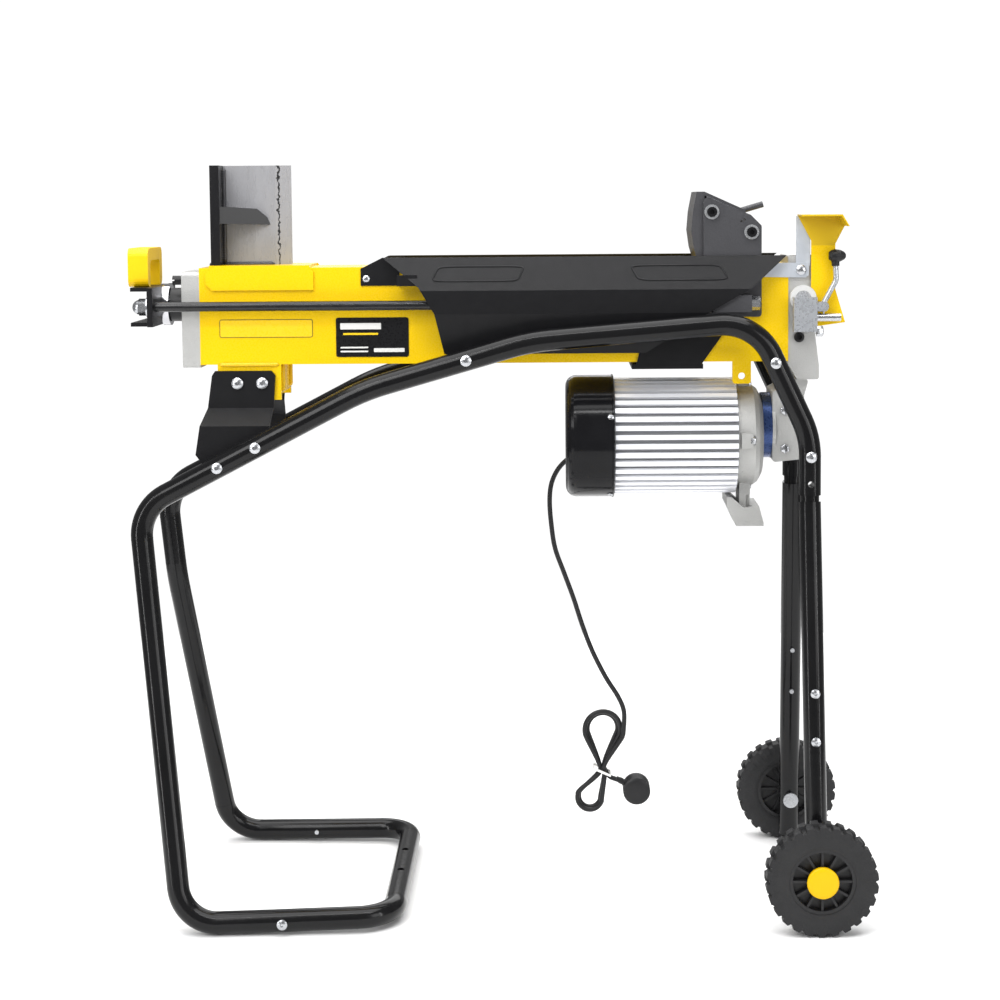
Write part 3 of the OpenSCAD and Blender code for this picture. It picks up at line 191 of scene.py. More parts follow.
def flat_plate(outline, low, high, rim, across):
    """A thin plate over a convex outline of (p, q) points, with its rims broken by rim. across names how the
    plate lies: "xz" has its thickness along Y, "xy" along Z and "yz" along X."""
    o = np.asarray(outline, float)
    middle = o.mean(0)
    size = np.abs(o - middle).max()
    inset = 1 - rim / size
    rows = [(0.0, low), (inset, low), (1.0, low + rim), (1.0, high - rim), (inset, high), (0.0, high)]
    flat = np.stack([middle + (o - middle) * k for k, _ in rows])
    height = np.array([h for _, h in rows])[:, None].repeat(len(o), 1)
    p, q = flat[..., 0], flat[..., 1]
    order = {"xz": (p, height, q), "xy": (p, q, height), "yz": (height, p, q)}[across]
    return np.stack(order, -1)


def rounded_box(p0, p1, q0, q1, r, steps=6):
    """The outline of a rectangle whose corners are quarter circles of radius r."""
    a = np.linspace(0, np.pi / 2, steps)
    corners = [(p1 - r, q1 - r, 0), (p0 + r, q1 - r, 1), (p0 + r, q0 + r, 2), (p1 - r, q0 + r, 3)]
    arcs = [(cx, cy, a + k * np.pi / 2) for cx, cy, k in corners]
    return np.concatenate([np.stack([cx + r * np.cos(t), cy + r * np.sin(t)], -1) for cx, cy, t in arcs])


yellow_paint = finish("yellow_gloss", YELLOW, 0.28, shine=0.3, clear=0.2, drift=0.03, grain=420, relief=0.05,
                      gloss_drift=0.06, marks=((0.60, 0.38, 0.01, 1), 0.12, 90))
dress(yellow_paint, "beam", "front_lugs", "wedge_saddle", "rear_lug")
beam_low, beam_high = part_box("beam")
lug_low, lug_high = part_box("front_lugs")
lug_end = lug_high.x + 0.001
weld_paint = finish("weld_yellow", (0.74, 0.47, 0.0, 1), 0.35, grain=700, relief=0.2)
beads = []
for side in (-1, 1):
    y = side * (beam_high.y + 0.0006)
    beads.append(weld_bead((lug_low.x + 0.002, y, beam_low.z), (lug_high.x - 0.002, y, beam_low.z)))
    inner = side * (beam_high.y - 0.012)
    beads.append(weld_bead((lug_end, inner, beam_low.z), (lug_end, inner, lug_low.z + 0.01)))
piece("beam_welds", beads, weld_paint)

# ---- Front end cap ----
# A grey cast aluminium block that closes the tank. It keeps the grain of its sand mould, and the
# oil cap beside the rod is a black plastic screw.
cast_alu = finish("sand_cast", (0.47, 0.47, 0.46, 1), 0.52, metal=0.6, drift=0.10, grain=620, relief=0.25,
                  gloss_drift=0.10, marks=((0.34, 0.34, 0.33, 1), 0.2, 60))
dress(cast_alu, "front_end_cap", "pump_housing", "valve_block")
black_plastic = finish("black_moulding", (0.010, 0.010, 0.011, 1), 0.40, drift=0.2, grain=900, relief=0.06,
                       shine=0.3)
dress(black_plastic, "bleed_screw", "lever_knob", "cord_gland", "fan", "rod_gland")

# ---- Side panels ----
# Film plates stuck to both sides of the beam: a black one with plain blank fields, and a yellow one
# nearer the wedge that only has a dark outline.
film_black = finish("film_black", (0.006, 0.006, 0.007, 1), 0.3, drift=0.1, grain=300, relief=0.02, shine=0.25)
dress(film_black, "side_plate")
film_pale = finish("film_pale", (0.72, 0.72, 0.70, 1), 0.35, drift=0.05, grain=300, relief=0.02)
film_yellow = finish("film_yellow", (0.84, 0.56, 0.01, 1), 0.3, drift=0.03, grain=300, relief=0.02)
film_ink = finish("film_ink", (0.16, 0.12, 0.01, 1), 0.4, drift=0.1, grain=300, relief=0.02)
plate_low, plate_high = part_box("side_plate")
FILM = 0.0003
RIM_WIDE, RIM_ROUND, FIELD_ROUND = 0.0011, 0.003, 0.002
panel_x0, panel_x1 = beam_low.x + 0.0254, beam_low.x + 0.1462
panel_z0, panel_z1 = beam_low.z + 0.0346, beam_low.z + 0.0585
for side, name in ((-1, "near"), (1, "far")):
    face = side * plate_high.y
    wide = plate_high.x - plate_low.x

    def field(u0, u1, v0, v1, face=face, side=side):
        """A blank field on the black plate, from shares of its width and height."""
        high = plate_high.z - plate_low.z
        box = rounded_box(plate_low.x + u0 * wide, plate_low.x + u1 * wide,
                          plate_low.z + v0 * high, plate_low.z + v1 * high, 0.0008)
        return flat_plate(box, face - side * FILM * 0.5, face + side * FILM, side * FILM * 0.2, "xz")
    piece(f"plate_fields_{name}", [field(0.06, 0.62, 0.70, 0.86), field(0.52, 0.94, 0.12, 0.22),
                                   field(0.06, 0.44, 0.12, 0.16), field(0.06, 0.44, 0.22, 0.26)],
          film_pale)
    piece(f"plate_stripe_{name}", [field(0.10, 0.58, 0.56, 0.61)], film_yellow)
    ground = side * beam_high.y
    rim = rounded_box(panel_x0, panel_x1, panel_z0, panel_z1, RIM_ROUND)
    field_box = rounded_box(panel_x0 + RIM_WIDE, panel_x1 - RIM_WIDE, panel_z0 + RIM_WIDE,
                            panel_z1 - RIM_WIDE, FIELD_ROUND)
    piece(f"plain_panel_rim_{name}", [flat_plate(rim, ground - side * FILM, ground + side * FILM,
                                                 side * FILM * 0.2, "xz")], film_ink)
    piece(f"plain_panel_{name}", [flat_plate(field_box, ground, ground + side * FILM * 1.7,
                                             side * FILM * 0.2, "xz")], film_yellow)

# ---- Wedge ----
# A flat blade of ground grey steel, welded to a back plate, with two forged wings that spread the
# log. The plate and the wings are sprayed in black gloss, which has run along the blade's edge.


def above(tree, source, limit):
    """1 where a value is above a limit, and 0 elsewhere."""
    step = add(tree, "Math", [(0, source)], operation="GREATER_THAN")
    step.inputs[1].default_value = limit
    return step.outputs[0]


def ragged(axis, at, half):
    """A mask that is 1 in a band with torn edges: noise shifts the band's middle to and fro along the axis."""
    def mask(tree, place):
        parts = add(tree, "SeparateXYZ", [("Vector", place)])
        torn = add(tree, "TexNoise", [("Vector", place)], Scale=150.0, Detail=4.0).outputs["Fac"]
        shift = add(tree, "MapRange", [("Value", torn)], To_Min=-at - 0.006, To_Max=-at + 0.006).outputs[0]
        apart = add(tree, "Math", [(0, parts.outputs[axis]), (1, shift)], operation="ADD").outputs[0]
        size = add(tree, "Math", [(0, apart)], operation="ABSOLUTE").outputs[0]
        inside = add(tree, "Math", [(0, size)], operation="LESS_THAN")
        inside.inputs[1].default_value = half
        return inside.outputs[0]
    return mask


def past(axis, limit):
    """A mask that is 1 where the distance from the middle plane, along one axis, is past a limit."""
    def mask(tree, place):
        parts = add(tree, "SeparateXYZ", [("Vector", place)])
        apart = add(tree, "Math", [(0, parts.outputs[axis])], operation="ABSOLUTE").outputs[0]
        return above(tree, apart, limit)
    return mask


blade_low, blade_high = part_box("wedge_blade")
back_low, back_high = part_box("wedge_back_plate")
BLADE_INK = (0.006, 0.006, 0.007, 1)
EDGE_RUN, RUN_HALF, WING_ROOT = 0.016, 0.0011, 0.0083
blade_steel = finish("blade_grey", (0.30, 0.30, 0.315, 1), 0.30, metal=0.2, clear=0.12, drift=0.10, grain=160,
                     relief=0.04, stretch=(1, 1, 0.25),
                     zones=[(ragged(0, blade_high.x - EDGE_RUN, RUN_HALF), BLADE_INK, 0.3),
                            (past(1, WING_ROOT), BLADE_INK, 0.30)])
dress(blade_steel, "wedge_blade")
plate_black = finish("plate_black", (0.006, 0.006, 0.007, 1), 0.22, clear=0.08, drift=0.14, grain=160,
                     relief=0.04, stretch=(1, 1, 0.25), shine=0.35)
dress(plate_black, "wedge_back_plate")
wedge_weld = finish("weld_dark", (0.05, 0.05, 0.055, 1), 0.34, metal=0.3, grain=800, relief=0.25)
foot_z = blade_low.z + 0.001
behind = back_low.x - 0.0004
beads = []
for side in (-1, 1):
    y = side * 0.0092
    beads.append(weld_bead((back_high.x + 0.001, y, blade_low.z + 0.002),
                           (back_high.x + 0.001, y, blade_high.z - 0.002), 0.0065))
    beads.append(weld_bead((back_high.x, y, foot_z), (blade_high.x - 0.022, y, foot_z), 0.006))
    beads.append(weld_bead((back_low.x + 0.0005, side * 0.036, foot_z),
                           (back_high.x - 0.0005, side * 0.036, foot_z), 0.005))
beads.append(weld_bead((behind, -0.038, foot_z), (behind, 0.038, foot_z)))
piece("wedge_welds", beads, wedge_weld)

# ---- Tie rod guards ----
# Folded sheet steel along both sides, powder coated in satin black, with two shallow pressings in
# the sloping top flap and a screw at the end tab.
sheet_black = finish("satin_black", (0.0065, 0.0065, 0.0075, 1), 0.38, drift=0.12, grain=1100, relief=0.10,
                     gloss_drift=0.05, shine=0.2, marks=((0.015, 0.015, 0.017, 1), 0.06, 70))
dress(sheet_black, "guards", "beam_saddle", "front_brackets", "crosshead")
zinc = finish("bright_zinc", (0.46, 0.47, 0.49, 1), 0.26, metal=1.0, drift=0.08, grain=600, relief=0.05)
dress(zinc, "guard_fasteners", "cover_screws", "stand_bolts", "tie_nuts", "valve_spool")
FLAP_LOW, FLAP_HIGH = (0.077, 0.800), (0.057, 0.842)
RIB_HALF, RIB_HIGH, RIB_LIFT = 0.0012, 0.0009, 0.0002
flap = np.subtract(FLAP_HIGH, FLAP_LOW)
flap_out = np.array([flap[1], -flap[0]]) / np.hypot(*flap)


def pressing(x0, x1, slant, side):
    """A shallow tray pressed in the flap, shown by its raised rim: a closed loop of half-round section that
    follows a rounded slanted box, whose points are powers of the cosine and the sine. It is worked out in
    the flap's own plane, then laid on the flap."""
    a = np.linspace(0, 2 * np.pi, 96, endpoint=False)
    squareness, half_share = 0.28, 0.22
    p = (x0 + x1) / 2 + (x1 - x0) / 2 * np.sign(np.cos(a)) * np.abs(np.cos(a)) ** squareness
    q = 0.5 + half_share * np.sign(np.sin(a)) * np.abs(np.sin(a)) ** squareness
    p = p + slant * (q - 0.5)
    centre_y = FLAP_LOW[0] + q * flap[0]
    centre_z = FLAP_LOW[1] + q * flap[1]
    spine = np.stack([p, side * centre_y, centre_z], -1)
    out = np.array([0.0, side * flap_out[0], flap_out[1]])
    ahead = np.roll(spine, -1, 0) - np.roll(spine, 1, 0)
    across = np.cross(ahead, out)
    across /= np.linalg.norm(across, axis=1)[:, None]
    t = np.linspace(0, 2 * np.pi, 8, endpoint=False)
    ring = (np.cos(t)[None, :, None] * RIB_HALF * across[:, None, :]
            + np.sin(t)[None, :, None] * RIB_HIGH * out)
    loop = spine[:, None, :] + ring + out * RIB_LIFT
    return np.concatenate([loop, loop[:1]], 0)


loops = []
for side in (-1, 1):
    loops.append(pressing(-0.080, 0.030, 0.020, side))
    loops.append(pressing(0.175, 0.290, -0.024, side))
piece("guard_pressings", loops, sheet_black)

# ---- Cylinder, straps and fitting ----
# A honed steel tube inside the beam, and bright galvanised straps that join beam and valve. The
# fitting on the near side is a white ring round a zinc plug.
honed = finish("honed_steel", (0.42, 0.42, 0.43, 1), 0.22, metal=1.0, grain=500, relief=0.05,
               stretch=(0.1, 1, 1))
dress(honed, "cylinder_tube", "piston", "driven_gear", "rotor", "bearings")
galvanised = finish("galvanised", (0.62, 0.66, 0.72, 1), 0.36, metal=0.6, drift=0.10, grain=300, relief=0.05,
                    gloss_drift=0.08)
dress(galvanised, "valve_straps")


def ring_past(middle, limit):
    """A mask that is 1 further than a limit from a line through middle, whose None is the line's direction."""
    def mask(tree, place):
        flat = add(tree, "VectorMath", [(0, place)], operation="MULTIPLY")
        flat.inputs[1].default_value = [0.0 if c is None else 1.0 for c in middle]
        apart = add(tree, "VectorMath", [(0, flat.outputs[0])], operation="DISTANCE")
        apart.inputs[1].default_value = [c or 0.0 for c in middle]
        return above(tree, apart.outputs["Value"], limit)
    return mask


fitting_low, fitting_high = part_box("valve_fitting")
fitting_x, fitting_z = (fitting_low.x + fitting_high.x) / 2, (fitting_low.z + fitting_high.z) / 2
PLUG_R = 0.0101
fitting = finish("ring_and_plug", (0.50, 0.51, 0.53, 1), 0.25, metal=0.5, grain=500, relief=0.04,
                 zones=[(ring_past((fitting_x, None, fitting_z), PLUG_R), (0.86, 0.86, 0.85, 1), 0.38)])
dress(fitting, "valve_fitting")
SOCKET_HEAD = [(-0.002, 0.0), (-0.002, 0.0066), (0.0052, 0.0066), (0.0060, 0.0058), (0.0060, 0.0034),
               (0.0015, 0.0034), (0.0015, 0.0)]
HEX_PLUG = [(-0.002, 0.0), (-0.002, 0.0062), (0.0055, 0.0062), (0.0066, 0.0050), (0.0066, 0.0)]
valve_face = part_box("valve_block")[1].x - 0.0005
piece("valve_screws", [lathe(SOCKET_HEAD, (0.388, side * 0.0458, 0.736), (0, side, 0), 36)
                       for side in (-1, 1)], black_plastic)
piece("valve_plugs", [lathe(HEX_PLUG, (valve_face, y, z), (1, 0, 0), 48, 6)
                      for y, z in ((0.0, 0.781), (0.024, 0.742), (-0.024, 0.742))], zinc)

# ---- Control lever ----
# A bent rod on a pin, with a moulded black knob, under a yellow hood of folded sheet that keeps
# logs off it. Above a set height the hood's yellow is painted browner, as painted shade under its top.
lever_steel = finish("lever_zinc", (0.50, 0.52, 0.55, 1), 0.30, metal=0.7, drift=0.08, grain=300, relief=0.05)
dress(lever_steel, "lever_bracket", "control_lever")


def over(limit):
    """A mask that is 1 above a height."""
    def mask(tree, place):
        return above(tree, add(tree, "SeparateXYZ", [("Vector", place)]).outputs[2], limit)
    return mask


# Above this height the hood is painted a browner yellow: painted shade under the hood's top.
HOOD_SHADE_Z = 0.854
hood_yellow = finish("hood_gloss_painted_shade", YELLOW, 0.28, shine=0.3, clear=0.15, drift=0.03, grain=420, relief=0.05,
                     zones=[(over(HOOD_SHADE_Z), (0.60, 0.40, 0.01, 1), 0.3)])
dress(hood_yellow, "lever_guard")

# ---- Pump and ring ----
# The gear pump sits in a cast adapter behind a blue anodised ring.
ring_blue = finish("blue_ring", (0.03, 0.06, 0.18, 1), 0.3, metal=0.6, drift=0.1, grain=500, relief=0.04)
dress(ring_blue, "pump_ring")
pump_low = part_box("pump_housing")[0]
HEX_HEAD = [(-0.003, 0.0), (-0.003, 0.0055), (0.0028, 0.0055), (0.0038, 0.0046), (0.0038, 0.0)]
piece("pump_screws", [lathe(HEX_HEAD, (pump_low.x + 0.016, side * 0.0378, z), (0, side, 0), 48, 6)
                      for side in (-1, 1) for z in (0.590, 0.640)], zinc)

# ---- Motor ----
# An extruded aluminium body with lengthwise fins, a cast end shield with a foot, and a deep-drawn
# black fan cover. Copper coils show nowhere, but they are there.
body_low, body_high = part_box("motor_body")
MOTOR_Z = (body_low.z + body_high.z) / 2
FIN_ROOT, STUD_CIRCLE, COVER_R = 0.0718, 0.066, 0.0800
# Inside the fin root radius the body is painted dark, and pale beyond it: painted shade in the grooves between
# the fins.
fins = finish("ribbed_aluminium_groove_shade", (0.20, 0.205, 0.215, 1), 0.42, metal=0.3, drift=0.04, grain=300, relief=0.02,
              stretch=(0.3, 1, 1), gloss_drift=0.04,
              zones=[(ring_past((None, 0.0, MOTOR_Z), FIN_ROOT), (0.88, 0.89, 0.93, 1), 0.34)])
dress(fins, "motor_body")
shield_cast = finish("shield_cast", (0.42, 0.42, 0.41, 1), 0.48, metal=0.55, drift=0.12, grain=560, relief=0.3,
                     gloss_drift=0.10, marks=((0.20, 0.20, 0.195, 1), 0.25, 55))
dress(shield_cast, "motor_shield")
cover_black = finish("cover_gloss", (0.004, 0.004, 0.005, 1), 0.14, clear=0.08, drift=0.2, grain=500,
                     relief=0.02, shine=0.12)
dress(cover_black, "fan_cover")
copper = finish("wound_copper", (0.45, 0.20, 0.09, 1), 0.4, metal=0.9, drift=0.3, grain=900, relief=0.4,
                stretch=(0.1, 1, 1))
dress(copper, "stator")
shield_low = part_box("motor_shield")[0]
cover_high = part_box("fan_cover")[1]
studs = []
for degrees in (0, 90, 180, 270):
    a = math.radians(degrees)
    spot = (shield_low.x + 0.031, STUD_CIRCLE * math.cos(a), MOTOR_Z + STUD_CIRCLE * math.sin(a))
    studs.append(lathe(HEX_HEAD, spot, (1, 0, 0), 48, 6))
piece("shield_studs", studs, zinc)
hem = 0.0012
hem_profile = [(-0.003, 0.0782), (-0.003, COVER_R), (-0.0022, COVER_R + hem), (-0.0008, COVER_R + hem),
               (0.0, COVER_R), (0.0, 0.0782)]
hem_grid = lathe(hem_profile + hem_profile[:1], (cover_high.x, 0, MOTOR_Z), (1, 0, 0), 96)
piece("cover_hem", [hem_grid], cover_black)

# ---- Switch box ----
# A black moulded box on the far side of the motor, closed by four pan head screws, with a green
# push button in a pale bezel.
PAN_HEAD = [(-0.002, 0.0), (-0.002, 0.0036), (0.0006, 0.0042), (0.0020, 0.0036), (0.0028, 0.0022),
            (0.0028, 0.0012), (0.0014, 0.0010), (0.0014, 0.0)]
switch_plastic = finish("switch_moulding", (0.010, 0.010, 0.011, 1), 0.5, drift=0.2, grain=1400, relief=0.18,
                        shine=0.3)
dress(switch_plastic, "switch_box")
button_green = finish("button_green", (0.02, 0.30, 0.08, 1), 0.3, drift=0.08, grain=500, relief=0.03, clear=0.2)
dress(button_green, "switch_button")
pale_plastic = finish("pale_moulding", (0.80, 0.80, 0.78, 1), 0.42, drift=0.04, grain=700, relief=0.04)
dress(pale_plastic, "capacitor", "cord_tie")
switch_low, switch_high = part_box("switch_box")
button_low, button_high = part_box("switch_button")
button_x, button_z = (button_low.x + button_high.x) / 2, (button_low.z + button_high.z) / 2
bezel = [(-0.001, 0.0113), (-0.001, 0.0155), (0.0012, 0.0155), (0.0026, 0.0140), (0.0026, 0.0118),
         (0.0010, 0.0113), (-0.001, 0.0113)]
piece("button_bezel", [lathe(bezel, (button_x, switch_high.y, button_z), (0, 1, 0), 64)], pale_plastic)
SCREW_IN = 0.009
corners = [(x, z) for z in (switch_low.z + SCREW_IN, switch_high.z - SCREW_IN)
           for x in (switch_low.x + SCREW_IN, switch_high.x - SCREW_IN)]
piece("switch_screws", [lathe(PAN_HEAD, (x, switch_high.y, z), (0, 1, 0), 24) for x, z in corners], zinc)

# ---- Stand ----
# Bent steel tube in gloss black powder coat, pushed together at sleeved joints and bolted with
# zinc button heads. Folded brackets hold its front to the beam.
tube_black = finish("tube_gloss", (0.003, 0.003, 0.0035, 1), 0.18, clear=0.1, drift=0.2, grain=260, relief=0.03,
                    gloss_drift=0.05, shine=0.2)
dress(tube_black, "upper_tubes", "front_legs", "foot_loop", "rear_legs")

# ---- Ram: crosshead, tie rods and pusher ----
# The rod drives a folded crosshead; two blackened tie rods run back through the guards and pull
# the pusher, a welded box in dark grey with a barrel face. A moulded yellow handle sits on top.
chrome = finish("hard_chrome", (0.50, 0.50, 0.52, 1), 0.12, metal=1.0, drift=0.03, grain=700, relief=0.02,
                stretch=(0.1, 1, 1), gloss_drift=0.04)
dress(chrome, "piston_rod")
rod_black = finish("blackened_bar", (0.008, 0.008, 0.009, 1), 0.27, metal=0.2, drift=0.2, grain=420,
                   relief=0.06, stretch=(0.15, 1, 1))
dress(rod_black, "tie_rods")
grip_yellow = finish("grip_moulding", (0.82, 0.52, 0.0, 1), 0.4, shine=0.3, drift=0.05, grain=800, relief=0.05)
dress(grip_yellow, "crosshead_grip")
pusher_grey = finish("pusher_grey", (0.055, 0.055, 0.060, 1), 0.38, metal=0.15, drift=0.14, grain=300,
                     relief=0.10, gloss_drift=0.1, shine=0.35, marks=((0.08, 0.08, 0.085, 1), 0.08, 60))
dress(pusher_grey, "pusher")
WASHER_FACE, BEAD = 0.0562, 0.0045
bolt_dark = finish("bolt_on_washer", (0.55, 0.56, 0.58, 1), 0.28, metal=0.8, drift=0.08, grain=600, relief=0.05,
                   zones=[(past(1, WASHER_FACE), (0.02, 0.02, 0.022, 1), 0.35)])
dress(bolt_dark, "pusher_bolts")
pusher_low, pusher_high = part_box("pusher")
pusher_weld = finish("weld_pusher", (0.035, 0.035, 0.04, 1), 0.4, metal=0.3, grain=800, relief=0.25)
face_x = pusher_low.x + 0.0165
beads = []
for side in (-1, 1):
    y = side * 0.0487
    beads.append(weld_bead((face_x, y, beam_high.z + 0.004), (face_x, y, pusher_high.z - 0.012), BEAD))
    beads.append(weld_bead((pusher_low.x + 0.019, y, pusher_high.z - 0.0065),
                           (pusher_low.x + 0.068, y, pusher_high.z - 0.029), BEAD))
piece("pusher_welds", beads, pusher_weld, "ram")

# ---- Wheels ----
# Moulded black tyres with two rows of blocky lugs on a spoked rim. A yellow cap snaps over the
# axle bolt's head.
rim_low, rim_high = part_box("rim_near")
AXLE_X, AXLE_Z = (rim_low.x + rim_high.x) / 2, (rim_low.z + rim_high.z) / 2
LUGS, LUG_HEIGHT = 26, 0.004
rubber = finish("tyre_rubber", (0.011, 0.011, 0.012, 1), 0.6, drift=0.25, grain=700, relief=0.2, shine=0.35)
rim_black = finish("rim_moulding", (0.012, 0.012, 0.013, 1), 0.38, drift=0.2, grain=700, relief=0.08, shine=0.3)
dress(rim_black, "rim_near", "rim_far")
cap_yellow = finish("cap_moulding", (0.72, 0.43, 0.0, 1), 0.36, drift=0.04, grain=700, relief=0.04, shine=0.2)


def smooth_step(x, low, high):
    """0 below low, 1 above high, and an S-shaped rise between them."""
    t = np.clip((x - low) / (high - low), 0, 1)
    return t * t * (3 - 2 * t)


def tyre_skin(low, high):
    """The tyre's skin: a closed section carried round the axle. Its outer radius rises by the lug height
    where a square wave of the angle is on, and the wave is half a pitch later on one row than on the other."""
    middle = (low.y + high.y) / 2
    half = (high.y - low.y) / 2
    radius = (high.z - low.z) / 2
    bead_r = radius * 0.6
    base = radius - LUG_HEIGHT
    section = [(-half + 0.003, bead_r)]
    quarter, wall = 1.57, base - bead_r - 0.008
    section += [(-half + 0.0004 + 0.0012 * math.cos(t) ** 2, bead_r + 0.004 + wall * t / quarter)
                for t in np.linspace(0.0, quarter, 9)]
    tread = [(-half + 0.0012 + k * (2 * half - 0.0024), base) for k in np.linspace(0, 1, 31)]
    section += tread
    section += [(-y, r) for y, r in section[9:0:-1]]
    section += [(half - 0.003, bead_r)]
    y, r = np.array(section).T
    angle = np.linspace(0, 2 * np.pi, LUGS * 20, endpoint=False)
    phase = (angle[:, None] * LUGS / (2 * np.pi) + np.where(y[None, :] > 0, 0.5, 0.0)) % 1.0
    lug = smooth_step(phase, 0.10, 0.19) * (1 - smooth_step(phase, 0.71, 0.80))
    on_tread = smooth_step(half - np.abs(y), -0.0005, 0.0016) * smooth_step(np.abs(y), 0.0010, 0.0024)
    shoulder = smooth_step(r, base - 0.013, base - 0.0005)
    grow = LUG_HEIGHT * lug * np.where(r[None, :] > base - 1e-6, on_tread[None, :], 0.0)
    bulge = 0.0010 * lug * (shoulder * (r < base - 1e-6))[None, :] * np.sign(y)[None, :]
    rr = r[None, :] + grow
    yy = middle + y[None, :] + np.clip(bulge, -0.0004, 0.0004)
    x = AXLE_X + rr * np.cos(angle)[:, None]
    z = AXLE_Z + rr * np.sin(angle)[:, None]
    grid = np.stack([x, np.broadcast_to(yy, x.shape), z], -1)
    return np.concatenate([grid, grid[:1]], 0)


CAP = [(-0.006, 0.0), (-0.006, 0.0185), (0.0012, 0.0200), (0.0026, 0.0194), (0.0034, 0.0178), (0.0038, 0.0140),
       (0.0041, 0.0070), (0.0042, 0.0)]
for side, near in ((-1, "near"), (1, "far")):
    tyre_low, tyre_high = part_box(f"tyre_{near}")
    skin = piece(f"tyre_skin_{near}", [tyre_skin(tyre_low, tyre_high)], rubber, f"wheel_{near}")
    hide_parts(f"tyre_{near}")
    hub_low, hub_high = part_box(f"rim_{near}")
    hub = hub_low.y if side < 0 else hub_high.y
    piece(f"hub_cap_{near}", [lathe(CAP, (AXLE_X, hub, AXLE_Z), (0, side, 0), 72)], cap_yellow,
          f"wheel_{near}")

# ---- Mains cord ----
# A black rubber lead, 1.2 m in all. It leaves a tapered gland on the switch box, hangs free,
# and its end is wound into a small hank held by a white tie, with a round moulded plug beside it.
CORD = 0.0065
GLAND = np.array([0.134, 0.100, 0.574])
hanging = np.array([[4, 0, 0], [-8, 0, 0], [-22, 0, -3], [-36, 0, -9], [-50, 0, -19], [-61, 0, -33],
                    [-68, 0, -51], [-70, 0, -74], [-68, 0, -104], [-63, 0, -138], [-51, 0, -172],
                    [-38, 0, -208], [-26, 0, -246], [-12, 0, -283], [6, -1, -319], [23, -3, -346],
                    [31, -5, -367]]) / 1000
TOP, WAIST, BOTTOM = np.array([0.003, -0.392]), np.array([0.0, -0.447]), np.array([-0.017, -0.488])
COLUMN, LAYER, CROSSING = 0.0040, 0.0068, 0.007


def arc_points(middle, radius, start, stop, count):
    """Points on a circle of changing radius, seen from the side. The angles are in half turns."""
    t = np.linspace(start, stop, count) * np.pi
    r = np.linspace(radius[0], radius[1], count)
    return middle + np.stack([r * np.cos(t), r * np.sin(t)], -1)


def hank_turn(k):
    """One turn of the hank, seen from the side: down the right of the upper loop, through the tie, round the
    lower loop and up again over the top. The loops are circles, and each turn is smaller than the last."""
    upper, lower = 0.0272 - 0.0040 * np.array([k, k + 1]), 0.0172 - 0.0022 * np.array([k, k])
    right, left = WAIST + [COLUMN, 0], WAIST - [COLUMN, 0]
    return np.concatenate([arc_points(TOP, upper[[0, 0]], -0.02, -0.18, 3),
                           [right + [0, CROSSING], right - [0, CROSSING]],
                           arc_points(BOTTOM, lower, 0.03, -1.22, 9),
                           [left - [0, CROSSING], left + [0, CROSSING]],
                           arc_points(TOP, upper, 1.18, 0.08, 10)])


flat = np.concatenate([hank_turn(0), hank_turn(1), hank_turn(2)[:4]])
per_turn = len(hank_turn(0))
depth = LAYER * (np.arange(len(flat)) / per_turn - 1)
wound = np.stack([flat[:, 0], depth, flat[:, 1]], -1)
tail = np.array([[5.5, 5, -453], [11, 3, -460.5], [18, 1, -463.2], [27, 0, -466]]) / 1000


def through(points, steps):
    """A smooth curve through the points: each step blends a point with its neighbours by a cubic."""
    p = np.concatenate([points[:1], points, points[-1:]])
    t = np.linspace(0, 1, steps, endpoint=False)[None, :, None]
    a, b, c, d = p[:-3, None], p[1:-2, None], p[2:-1, None], p[3:, None]
    curve = 0.5 * (2 * b + (c - a) * t + (2 * a - 5 * b + 4 * c - d) * t**2 + (3 * b - a - 3 * c + d) * t**3)
    return np.concatenate([curve.reshape(-1, 3), points[-1:]])


route = GLAND + through(np.concatenate([hanging, wound, tail]), 5)
cord_rubber = finish("lead_rubber", (0.007, 0.007, 0.008, 1), 0.42, drift=0.2, grain=900, relief=0.08,
                     shine=0.35)
line = bpy.data.curves.new("mains_cord", "CURVE")
line.dimensions = "3D"
line.bevel_depth = CORD / 2
line.bevel_resolution = 4
line.use_fill_caps = True
spline = line.splines.new("POLY")
spline.points.add(len(route) - 1)
spline.points.foreach_set("co", np.concatenate([route, np.ones((len(route), 1))], 1).ravel())
spline.use_smooth = True
line.materials.append(cord_rubber)
cord = bpy.data.objects.new("mains_cord", line)
bpy.context.scene.collection.objects.link(cord)
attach(cord, MACHINE)
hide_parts("cord", "cord_hank")
PLUG = GLAND + np.array([0.048, 0.0, -0.477])
RIB_R, GROOVE_R, RIB_PITCH = 0.0188, 0.0176, 0.0046
steps = ((0.0, RIB_R), (0.25, RIB_R), (0.4, GROOVE_R), (0.9, GROOVE_R))
ribs = [(y + k * 0.003, r) for y in np.arange(-0.013, 0.010, RIB_PITCH) for k, r in steps]
plug_profile = [(-0.0155, 0.0), (-0.0155, 0.013), (-0.0145, 0.0168)] + ribs
plug_profile += [(0.0125, RIB_R), (0.0150, 0.0180), (0.0150, 0.0)]
parts = [lathe(plug_profile, PLUG, (0, 1, 0), 64)]
neck = [(-0.004, 0.0), (-0.004, 0.0034), (0.0, 0.0040), (0.004, 0.0046), (0.006, 0.0040), (0.009, 0.0054),
        (0.011, 0.0046), (0.014, 0.0064), (0.02, 0.0072), (0.02, 0.0)]
parts.append(lathe(neck, GLAND + np.array([0.0235, 0, -0.4642]), (25, 0, -13), 32))
plug_body = piece("plug_body", parts, black_plastic)
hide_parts("plug")
pin = [(0.014, 0.0), (0.014, 0.0024), (0.0325, 0.0024), (0.0338, 0.0016), (0.034, 0.0)]
piece("plug_pins", [lathe(pin, PLUG + np.array([dx, 0, 0]), (0, 1, 0), 24) for dx in (-0.0095, 0.0095)],
      zinc)

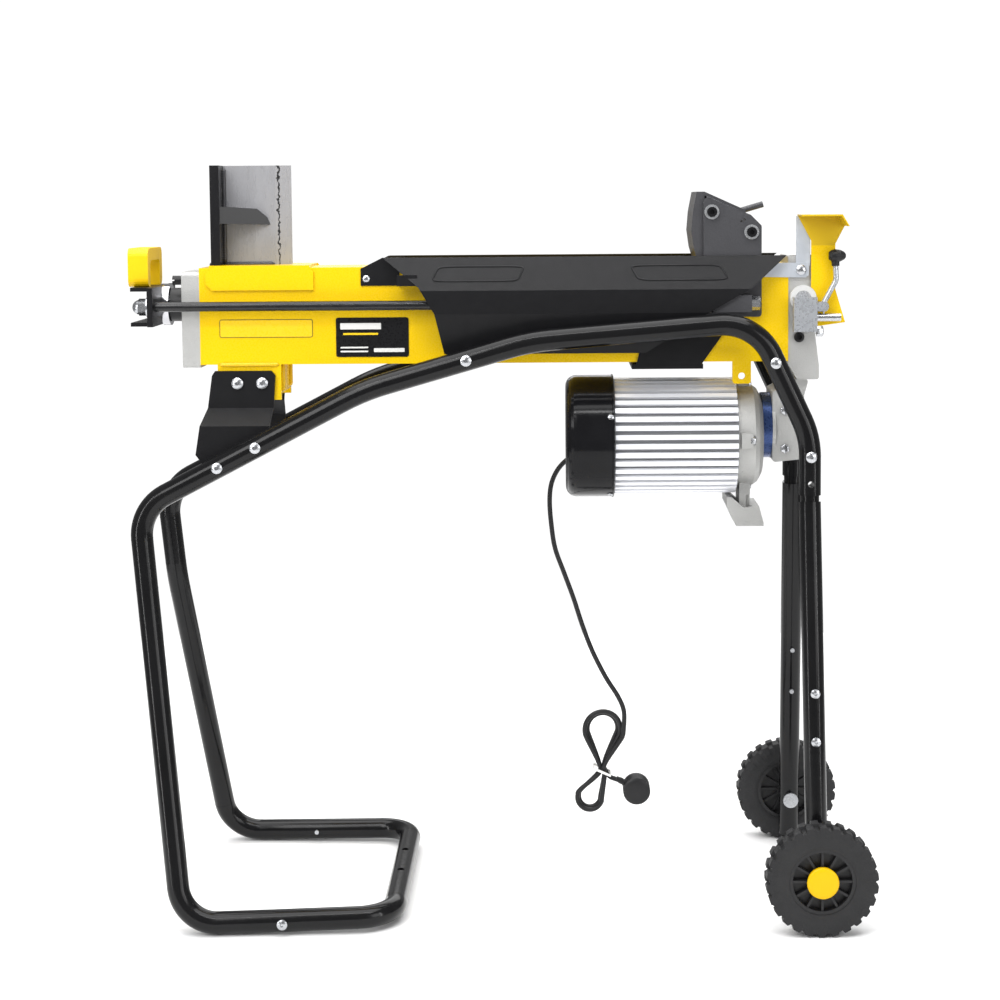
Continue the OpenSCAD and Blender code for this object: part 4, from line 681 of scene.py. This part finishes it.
# ---- Studio ----
# A pale floor under a white backdrop, soft panels for the body of the light and narrow strips that
# draw thin lines on the gloss paint. The camera looks down a little from standing height.
floor_mesh = bpy.data.meshes.new("floor")
LONG, DEEP = 1.6, 1.5
floor_mesh.from_pydata([(-LONG, -DEEP, 0.0), (LONG, -DEEP, 0.0), (LONG, DEEP, 0.0), (-LONG, DEEP, 0.0)], [],
                       [(0, 1, 2, 3)])
floor_mesh.materials.append(finish("pale_floor", (0.93, 0.93, 0.93, 1), 0.7, drift=0.01, grain=40, relief=0.0,
                                   shine=0.1))
floor = bpy.data.objects.new("floor", floor_mesh)
bpy.context.scene.collection.objects.link(floor)
world = bpy.data.worlds.new("studio")
world.use_nodes = True
sky = world.node_tree
sky.nodes.clear()
LIT, BACKDROP = 0.34, 1.05
seen = add(sky, "LightPath").outputs["Is Camera Ray"]
strength = add(sky, "MapRange", [("Value", seen)], To_Min=LIT, To_Max=BACKDROP).outputs[0]
glow = add(sky, "Background", [("Strength", strength)], Color=(1, 1, 1, 1))
add(sky, "OutputWorld", [("Surface", glow.outputs[0])])
bpy.context.scene.world = world
LAMPS = (("key", (-1.6, -2.4, 2.4), (1.6, 1.6), 48), ("fill", (2.2, -2.4, 1.2), (1.4, 1.8), 22),
         ("top", (0.0, 0.0, 3.0), (3.4, 3.0), 120), ("back", (0.4, 2.6, 2.0), (2.4, 1.6), 26),
         ("high strip", (0.0, -1.5, 2.5), (2.6, 0.16), 20), ("left strip", (-2.1, -1.5, 0.8), (0.16, 1.8), 13),
         ("right strip", (2.3, -1.6, 0.8), (0.14, 1.8), 8))
for name, place, size, power in LAMPS:
    panel = bpy.data.lights.new(name, "AREA")
    panel.shape = "RECTANGLE"
    panel.size, panel.size_y = size
    panel.energy = power
    lamp = bpy.data.objects.new(name, panel)
    lamp.location = place
    aim = Vector((0.0, 0.0, 0.5)) - Vector(place)
    lamp.rotation_mode = "QUATERNION"
    lamp.rotation_quaternion = aim.to_track_quat("-Z", "Y")
    bpy.context.scene.collection.objects.link(lamp)
bpy.context.scene.view_settings.view_transform = "Standard"
eye = Vector((0.0736, -2.5693, 0.9155))
YAW, PITCH, ROLL = 0.312, 4.403, -0.4
camera = bpy.data.cameras.new("camera")
camera.sensor_width = 36
camera.lens = 70.44
camera.shift_x, camera.shift_y = -0.045, -0.15
viewer = bpy.data.objects.new("camera", camera)
viewer.matrix_world = (Matrix.Translation(eye) @ Matrix.Rotation(math.radians(YAW), 4, "Z")
                       @ Matrix.Rotation(math.radians(90 - PITCH), 4, "X")
                       @ Matrix.Rotation(math.radians(ROLL), 4, "Z"))
bpy.context.scene.collection.objects.link(viewer)
bpy.context.scene.camera = viewer
